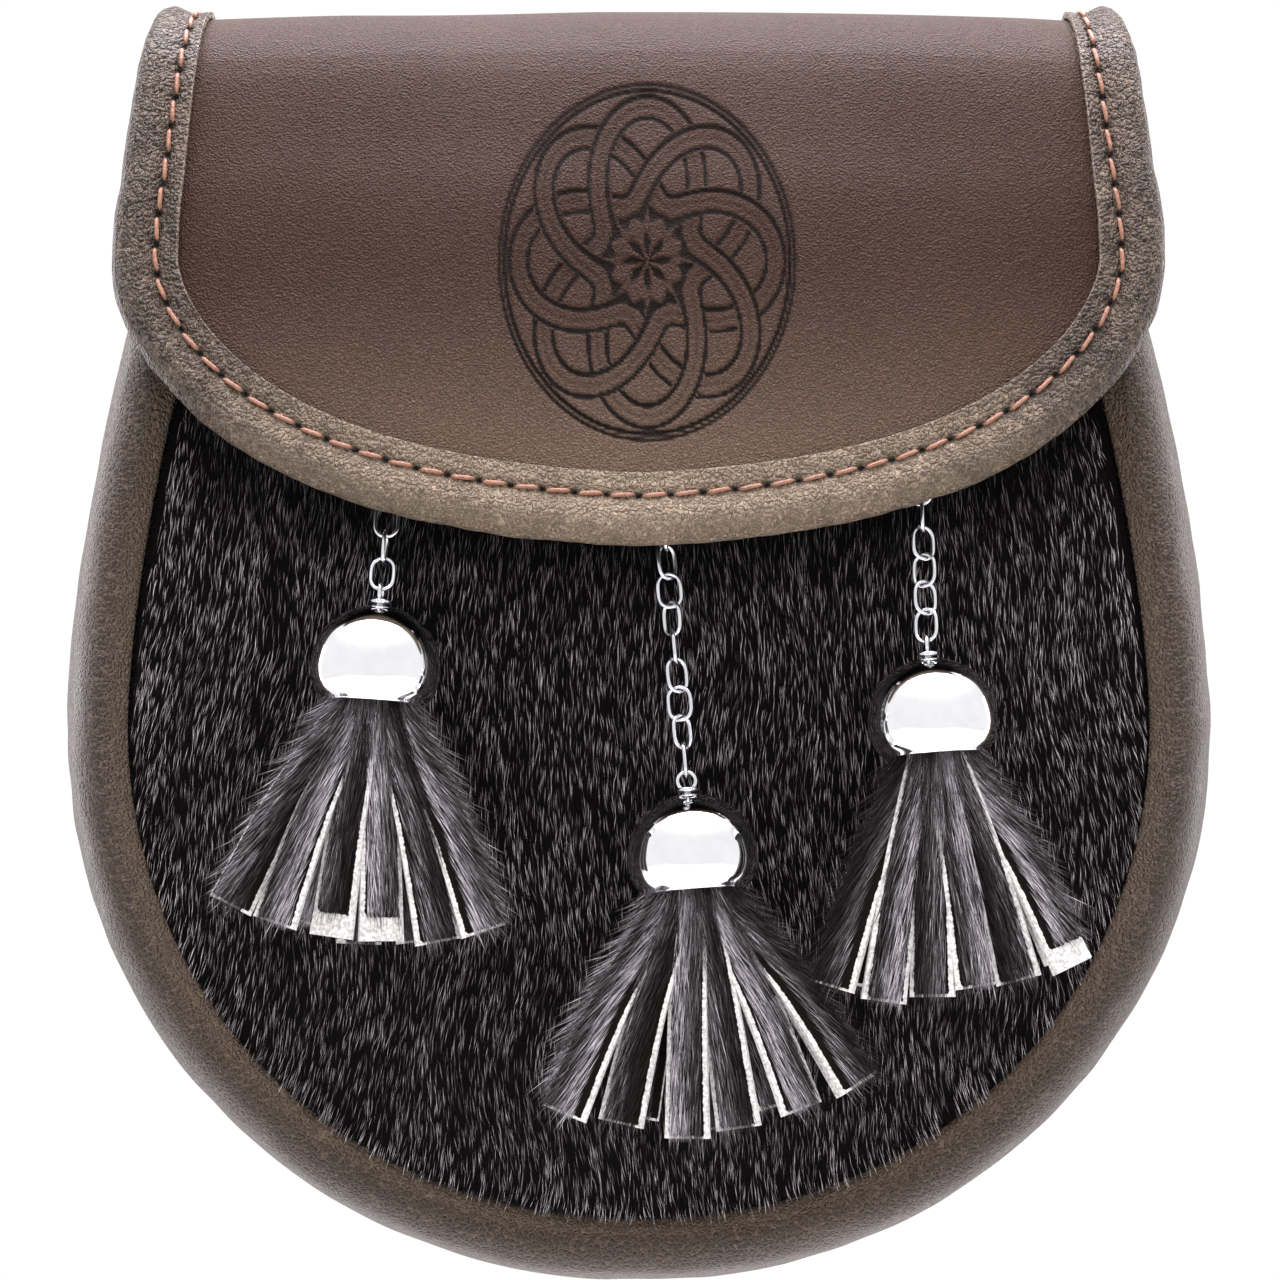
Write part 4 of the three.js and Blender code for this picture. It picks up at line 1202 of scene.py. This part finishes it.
def chain_line(chain):
    """Eye, direction, links' places and staple of one chain."""
    cap_z = chain["eye_z"] - CAP_DROP - CAP_HEIGHT + CAP_BELLY
    cap_x = chain["eye_x"] + math.tan(math.radians(chain["tassel_lean"])) * (chain["eye_z"] - cap_z)
    cap_y = float(front_y(np.array(cap_x), np.array(cap_z))) - CAP_ROWS[:, 1].max() - CAP_OFF_FRONT
    eye_y = cap_y + math.tan(math.radians(TASSEL_TILT)) * (chain["eye_z"] - cap_z)
    eye = np.array((chain["eye_x"], eye_y, chain["eye_z"]))
    half = (LINK_LENGTH - WIRE) / 2
    hook = WIRE + LINK_CLEAR
    end_step = RING_RADIUS - hook + half
    pitch = 2 * half - hook
    total = 2 * end_step + (len(chain["turns"]) - 1) * pitch
    standoff = RING_RADIUS + WIRE + STAPLE_CLEAR
    top = eye + (math.sin(math.radians(chain["chain_lean"])) * total, 0, total)
    # The staple's depth and height are settled together
    for _ in range(8):
        top[1] = float(front_y(np.array(top[0]), np.array(top[2] + RING_RADIUS))) - standoff
        top[2] = eye[2] + math.sqrt(total**2 - (top[0] - eye[0]) ** 2 - (top[1] - eye[1]) ** 2)
    line = (top - eye) / np.linalg.norm(top - eye)
    places = [eye + line * (end_step + k * pitch) for k in range(len(chain["turns"]))]
    lie = np.array(Vector((0, 0, 1)).rotation_difference(Vector(line)).to_matrix())
    return eye, lie, places, top


def wire_loop(across, up):
    """Closed loop of round wire, standing along Z."""
    path = np.stack((across, np.zeros(len(across)), up), -1)
    return tube_mesh(path, WIRE / 2, 12, True, up=np.array((0.0, 1.0, 0.0)))


def link_mesh():
    """Long wire link with round ends."""
    angle = np.linspace(0, 2 * math.pi, 56, endpoint=False)
    radius = (LINK_WIDTH - WIRE) / 2
    straight = (LINK_LENGTH - LINK_WIDTH) / 2
    rise = radius * np.sin(angle) + straight * np.tanh(4 * np.sin(angle))
    return wire_loop(radius * np.cos(angle), rise)


def ring_mesh(turn):
    """Round wire ring, turned about Z."""
    angle = np.linspace(0, 2 * math.pi, 40, endpoint=False)
    points, faces = wire_loop(RING_RADIUS * np.cos(angle), RING_RADIUS * np.sin(angle))
    return points @ turn_about(Z_AXIS, turn).T, faces


def staple_mesh(turn):
    """Ring that holds the highest link, with a post and a foot toward the front panel."""
    reach = RING_RADIUS + WIRE

    def rod(depths, radii, sides):
        """Round rod straight back from the top of the ring."""
        return tube_mesh([(0, depth, RING_RADIUS) for depth in depths], radii, sides)

    post = rod((0, reach / 2, reach), 0.55, 16)
    foot = rod((reach - 0.8, reach - 0.7, reach - 0.2, reach), (1.5, 1.75, 1.8, 1.8), 24)
    return joined((ring_mesh(turn), post, foot))


def stud_mesh():
    """Closing stud between front and flap, waisted where its halves meet."""
    low, high = (np.array(corner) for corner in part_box("flap_stud"))
    middle = (low + high) / 2 / MM - POUCH_SHIFT
    foot = np.array((0, float(front_y(np.array(0.0), np.array(STUD_Z))), STUD_Z))
    reach = np.linalg.norm(middle - foot) - 0.5
    share, wide = STUD_PROFILE.T
    return tube_mesh(middle + unit(middle - foot) * (reach * share)[:, None], STUD_RADIUS * wide, 40)


class SPORRAN_OT_chains(bpy.types.Operator):
    """Chains, their hidden staples and the closing stud"""
    bl_idname = "sporran.chains"
    bl_label = "Chains"

    def execute(self, context):
        colours, _ = settings()
        steel = metal_finish("chain_steel", colours.steel, 0.1, 0.24)
        link, faces = link_mesh()
        for chain in CHAINS:
            name = chain["name"]
            _, lie, places, top = chain_line(chain)
            for k, (place, angle) in enumerate(zip(places, chain["turns"]), 1):
                points = turned(link, lie @ turn_about(Z_AXIS, angle), place)
                make_piece(f"link_{name}_{k}", points, faces, steel, (f"chain_{name}_link_{k}",),
                           "chain_steel")
            points, staple_faces = staple_mesh(chain["turns"][-1] + 90)
            make_piece(f"staple_{name}", points + top, staple_faces, steel,
                       (f"chain_staple_{name}",), "chain_steel")
        make_piece("closing_stud", *stud_mesh(), steel, ("flap_stud",), "chain_steel", sharp=50)
        return {"FINISHED"}


def cap_mesh():
    """Hollow bell with a rolled rim."""
    rows = np.concatenate((CAP_ROWS, ((CAP_HEIGHT - 0.02, CAP_HOLE),)))
    height, radius = along(rows, np.linspace(0, 1, 44)).T
    skin = np.stack((np.maximum(radius, CAP_HOLE), height), -1)
    run = unit(np.gradient(skin, axis=0))
    wall = skin + np.stack((-run[:, 1], run[:, 0]), -1) * CAP_WALL
    wall[:, 0] = np.maximum(wall[:, 0], CAP_HOLE)
    profile = np.concatenate((skin, wall[::-1], CAP_LIP))
    profile[:, 1] -= CAP_HEIGHT + CAP_DROP
    return lathe_mesh(profile, 72)


def eye_mesh(turn):
    """Wire ring, twisted neck, collar coil, stem and stop."""
    parts = [ring_mesh(turn)]
    share = np.linspace(0, 1, 30)
    for start in (0, math.pi):
        angle = start + share * 2.6 * math.pi
        neck = np.stack((0.36 * np.cos(angle), 0.36 * np.sin(angle),
                         -RING_RADIUS + 0.1 - share * 0.7), -1)
        parts.append(tube_mesh(neck, 0.3, 10))
    angle = np.linspace(0, 4 * math.pi, 72)
    radius = np.linspace(0.9, 1.5, 72)
    coil = np.stack((radius * np.cos(angle), radius * np.sin(angle),
                     -CAP_DROP + GAP + WIRE / 2 + np.linspace(0.05, -0.02, 72)), -1)
    parts.append(tube_mesh(coil, WIRE / 2, 10))
    stem = [(0, 0, -down) for down in np.linspace(RING_RADIUS, PLUG_TOP - GAP, 6)]
    parts.append(tube_mesh(stem, 0.5, 16))
    stop_z = -CAP_DROP - CAP_WALL - GAP - 0.75
    stop = [(0, 0, stop_z + up) for up in (-0.45, -0.4, 0.4, 0.45)]
    parts.append(tube_mesh(stop, (2.0, 2.2, 2.2, 2.0), 24))
    return joined(parts)


def strip_paths(layer, spread_by, draw):
    """Middle line, side and face directions of each strip in a layer."""
    for k in range(layer["count"]):
        fan = 2 * k / (layer["count"] - 1) - 1
        bow = math.sqrt(1 - 0.6 * fan * fan)
        top = np.array((layer["mouth_x"] * fan * 0.8, layer["mouth_y"] * bow * 0.8, CAP_RIM + 5))
        mouth = np.array((layer["mouth_x"] * fan, layer["mouth_y"] * bow, CAP_RIM))
        tip_x = layer["tip_x"] * fan * spread_by
        spread = tip_x - mouth[0]
        drop = math.sqrt(layer["length"] ** 2 - spread**2)
        tip = np.array((tip_x, layer["tip_y"] * bow, CAP_RIM - drop))
        tip += (draw.uniform(-0.8, 0.8), draw.uniform(-0.5, 0.5), draw.uniform(-0.6, 1.6))
        half = (mouth + tip) / 2 + (spread * 0.06, -0.8, 0)
        share = np.linspace(0, 1, 40)
        path = along(np.array((top, mouth, half, tip)), share)
        run = unit(np.gradient(path, axis=0))
        across = unit(np.stack((-run[:, 2], np.zeros(len(share)), run[:, 0]), -1))
        twist = np.radians(draw.uniform(10, 26) * draw.choice((-1, 1))) * smooth(share, 0.15, 0.8)
        face = np.cross(run, across)
        face *= np.where(face[:, 1:2] > 0, -1, 1)
        side = across * np.cos(twist)[:, None] + face * np.sin(twist)[:, None]
        out = face * np.cos(twist)[:, None] - across * np.sin(twist)[:, None]
        width = STRIP_WIDTH_MOUTH + (STRIP_WIDTH_TIP - STRIP_WIDTH_MOUTH) * share
        yield fan, share, path, run, side, out, width


def strip_strands(strip, reach, bare, bright, sizes, draw):
    """Hair of one strip down to where it is bare, and the tones of its points, which hold painted
    glints.
    """
    fan, share, path, run, side, out, width = strip
    count = sizes.strip_hair_count
    down = draw.uniform(0.06, min(bare, 0.975), count)
    outside = np.sign(fan) if abs(fan) > STRIP_OUTERMOST else 0
    off = draw.uniform(-0.74, 0.74, count) + 0.2 * outside
    wide = np.interp(down, share, width)
    normal, across, way = (unit(read_off(down, share, table)) for table in (out, side, run))
    root = (read_off(down, share, path) + across * (off * wide / 2)[:, None]
            + normal * (STRIP_CUP * (1 - off**2) + STRIP_HIDE / 2)[:, None])
    aside = fan * 0.18 + draw.normal(0, 0.07, count)
    stray = np.clip(off * outside, 0, 1) * draw.uniform(0.0, 0.75, count)
    way = unit(way + across * (aside + stray * outside)[:, None])
    long = sizes.strip_hair / MM * draw.uniform(0.55, 1.15, count) * (1 + 0.25 * stray)
    room = (1 - down) * reach * 1.12 + np.where(draw.uniform(size=count) < 0.15, 3.2, 0.4)
    long = np.clip(np.minimum(long, room if bare == 1 else room - 3.6), 0.8, None)
    rolls = draw.normal(0, 0.45, count)
    thick = sizes.hair_width / MM * draw.uniform(0.9, 1.9, count)
    strands = hair_mesh(root, way, normal, long, thick, rolls, 0.08)
    # Painted glints: brighter on one side of each strip
    lit = draw.choice((-1, 1))
    tone = draw.gamma(0.8, 0.42, count) * (0.2 + 1.5 * smooth(off * lit, -0.4, 0.7))
    tone *= bright + draw.uniform(-0.1, 0.2)
    return strands, hair_tones(np.clip(tone, 0, 1))


class SPORRAN_OT_tassels(bpy.types.Operator):
    """Tassels: wire eyes, chrome caps and strips of haired hide"""
    bl_idname = "sporran.tassels"
    bl_label = "Tassels"

    def execute(self, context):
        colours, sizes = settings()
        steel = metal_finish("eye_steel", colours.steel, 0.1, 0.24)
        chrome = metal_finish("cap_chrome", colours.chrome, 0.03, 0.09)
        hide = skin_finish("strip_hide", colours.strip_dark, colours.flesh)
        hair = hair_finish("strip_hair", colours.strip_dark, colours.strip_glint)
        cap, cap_faces = cap_mesh()
        for number, chain in enumerate(CHAINS):
            name = chain["name"]
            eye = chain_line(chain)[0]
            lie = turn_about(X_AXIS, -TASSEL_TILT) @ turn_about(Y_AXIS, -chain["tassel_lean"])
            points, faces = eye_mesh(chain["eye_turn"])
            make_piece(f"eye_{name}", turned(points, lie, eye), faces, steel, (f"tassel_eye_{name}",),
                       "chain_steel", sharp=50)
            make_piece(f"cap_{name}", turned(cap, lie, eye), cap_faces, chrome, (f"tassel_cap_{name}",),
                       "cap_chrome", sharp=60)
            strips, flesh, hairs, tones = self.fringe(chain, number, sizes)
            points, faces = joined(strips)
            make_piece(f"fringe_{name}", turned(points, lie, eye), faces, hide,
                       (f"tassel_fringe_{name}",), "tassel_hide", tidy=False, sharp=50,
                       values={"flesh": np.concatenate(flesh)})
            points, faces = joined(hairs)
            make_piece(f"fringe_hair_{name}", turned(points, lie, eye), faces, hair,
                       slot="tassel_hide", tidy=False, values={"tone": np.concatenate(tones)})
        return {"FINISHED"}

    def fringe(self, chain, number, sizes):
        """Plug and strips of one tassel, their flesh sides, and their hair with its tones."""
        draw = np.random.default_rng(70 + number)
        plug = tube_mesh([(0, 0, z) for z in np.linspace(CAP_RIM, -PLUG_TOP, 5)], PLUG_RADIUS, 32)
        strips, flesh, hairs, tones = [plug], [np.zeros(len(plug[0]))], [], []
        cup = STRIP_CUP * (1 - STRIP_LANES**2)
        for layer in STRIP_LAYERS:
            in_front = layer["tip_y"] < 0
            for k, strip in enumerate(strip_paths(layer, chain["fan"], draw)):
                fan, share, path, _, side, out, width = strip
                bare = 0.9 if in_front and k in chain["bare"] else 1.0
                skin = (path[:, None] + side[:, None] * (STRIP_LANES * width[:, None] / 2)[..., None]
                        + out[:, None] * cup[None, :, None])
                half_wall = out[:, None] * STRIP_HIDE / 2
                strips.append(sheet_mesh(skin + half_wall, skin - half_wall))
                pale = np.zeros((len(share), len(STRIP_LANES)))
                pale[share > bare] = 1
                if fan < STRIP_OUTERMOST:
                    pale[:, -2:] = in_front
                if fan > -STRIP_OUTERMOST:
                    pale[:, :2] = 1
                pale[-1] = 1
                flesh.append(np.concatenate((pale.ravel(), np.ones(pale.size))))
                bright = STRIP_BRIGHTNESS[(k + number) % 2]
                strands, tone = strip_strands(strip, layer["length"], bare, bright, sizes, draw)
                hairs.append(strands)
                tones.append(tone)
        return strips, flesh, hairs, tones


class SPORRAN_OT_stage(bpy.types.Operator):
    """Camera, pale floor and soft studio light"""
    bl_idname = "sporran.stage"
    bl_label = "Stage"

    def execute(self, context):
        scene = context.scene
        scene.view_settings.view_transform = "Standard"
        self.camera(scene)
        self.studio(scene)
        self.floor(scene)
        for lamp in LAMPS:
            self.lamp(scene, *lamp)
        return {"FINISHED"}

    def camera(self, scene):
        """Long lens, straight at the front."""
        camera = bpy.data.objects.new("camera", bpy.data.cameras.new("camera"))
        scene.collection.objects.link(camera)
        scene.camera = camera
        camera.location = CAMERA_AIM - Vector((0, CAMERA_DISTANCE, 0))
        camera.rotation_euler = (math.pi / 2, 0, 0)
        camera.data.sensor_width = CAMERA_SENSOR
        camera.data.lens = CAMERA_SENSOR * CAMERA_DISTANCE / CAMERA_SEES
        camera.data.clip_end = 50

    def studio(self, scene):
        """White surroundings, dimmer below and brighter overhead."""
        world = bpy.data.worlds.new("white_studio")
        world.use_nodes = True
        background = next(n for n in world.node_tree.nodes if n.type == "BACKGROUND")
        sky = Wire(world.node_tree)
        way = sky.node("ShaderNodeTexCoord", output="Generated")
        height = sky.node("ShaderNodeSeparateXYZ", None, {0: way}, "Z")
        glow = 0.6 + height.step(-1.0, -0.12) * 0.42 + height.step(0.5, 0.95) * 0.4
        world.node_tree.links.new(glow.socket, background.inputs["Strength"])
        background.inputs["Color"].default_value = (1, 1, 1, 1)
        scene.world = world

    def floor(self, scene):
        """Sheet of pale paper below the pouch."""
        mesh = bpy.data.meshes.new("floor")
        corners = [(x * FLOOR_HALF, y * FLOOR_HALF, FLOOR_Z)
                   for x, y in ((-1, -1), (1, -1), (1, 1), (-1, 1))]
        mesh.from_pydata(corners, [], [(0, 1, 2, 3)])
        paper = Finish("floor_paper", roughness=0.9)
        fibre = paper.noise(90.0, 2.0)
        paper.feed("Base Color", fibre.mix(rgba((0.74, 0.74, 0.74)), rgba((0.78, 0.78, 0.78))))
        mesh.materials.append(paper.material)
        floor = bpy.data.objects.new("floor", mesh)
        scene.collection.objects.link(floor)

    def lamp(self, scene, name, place, size, power):
        """Square lamp aimed at the pouch; the key light leaves no glint."""
        light = bpy.data.lights.new(name, "AREA")
        light.size = size
        light.energy = power
        light.color = (1.0, 0.92, 1.0)
        lamp = bpy.data.objects.new(name, light)
        lamp.location = place
        lamp.visible_glossy = name != "key_light"
        aim = Vector((0, -0.03, -0.03)) - Vector(place)
        lamp.rotation_euler = aim.to_track_quat("-Z", "Y").to_euler()
        scene.collection.objects.link(lamp)


PIECES = (SPORRAN_OT_stage, SPORRAN_OT_back, SPORRAN_OT_gusset, SPORRAN_OT_front, SPORRAN_OT_flap,
          SPORRAN_OT_binding, SPORRAN_OT_loop, SPORRAN_OT_chains, SPORRAN_OT_tassels)


class SPORRAN_PT_panel(bpy.types.Panel):
    """Sidebar list of the sporran's pieces"""
    bl_idname = "SPORRAN_PT_panel"
    bl_label = "Sporran"
    bl_space_type = "VIEW_3D"
    bl_region_type = "UI"
    bl_category = "Sporran"

    def draw(self, context):
        for piece in PIECES:
            self.layout.operator(piece.bl_idname)
        for group in settings():
            box = self.layout.box()
            for key in group.__annotations__:
                box.prop(group, key)


CLASSES = (SporranColours, SporranSizes, SporranSettings, *PIECES, SPORRAN_PT_panel)


def register():
    """Make the classes and settings known."""
    for one in CLASSES:
        bpy.utils.register_class(one)
    bpy.types.Scene.sporran = bpy.props.PointerProperty(type=SporranSettings)


def unregister():
    """Take the classes and settings away."""
    del bpy.types.Scene.sporran
    for one in reversed(CLASSES):
        bpy.utils.unregister_class(one)


def main():
    """Build every piece."""
    register()
    for piece in PIECES:
        group, name = piece.bl_idname.split(".")
        getattr(getattr(bpy.ops, group), name)()


if __name__ == "__main__":
    main()
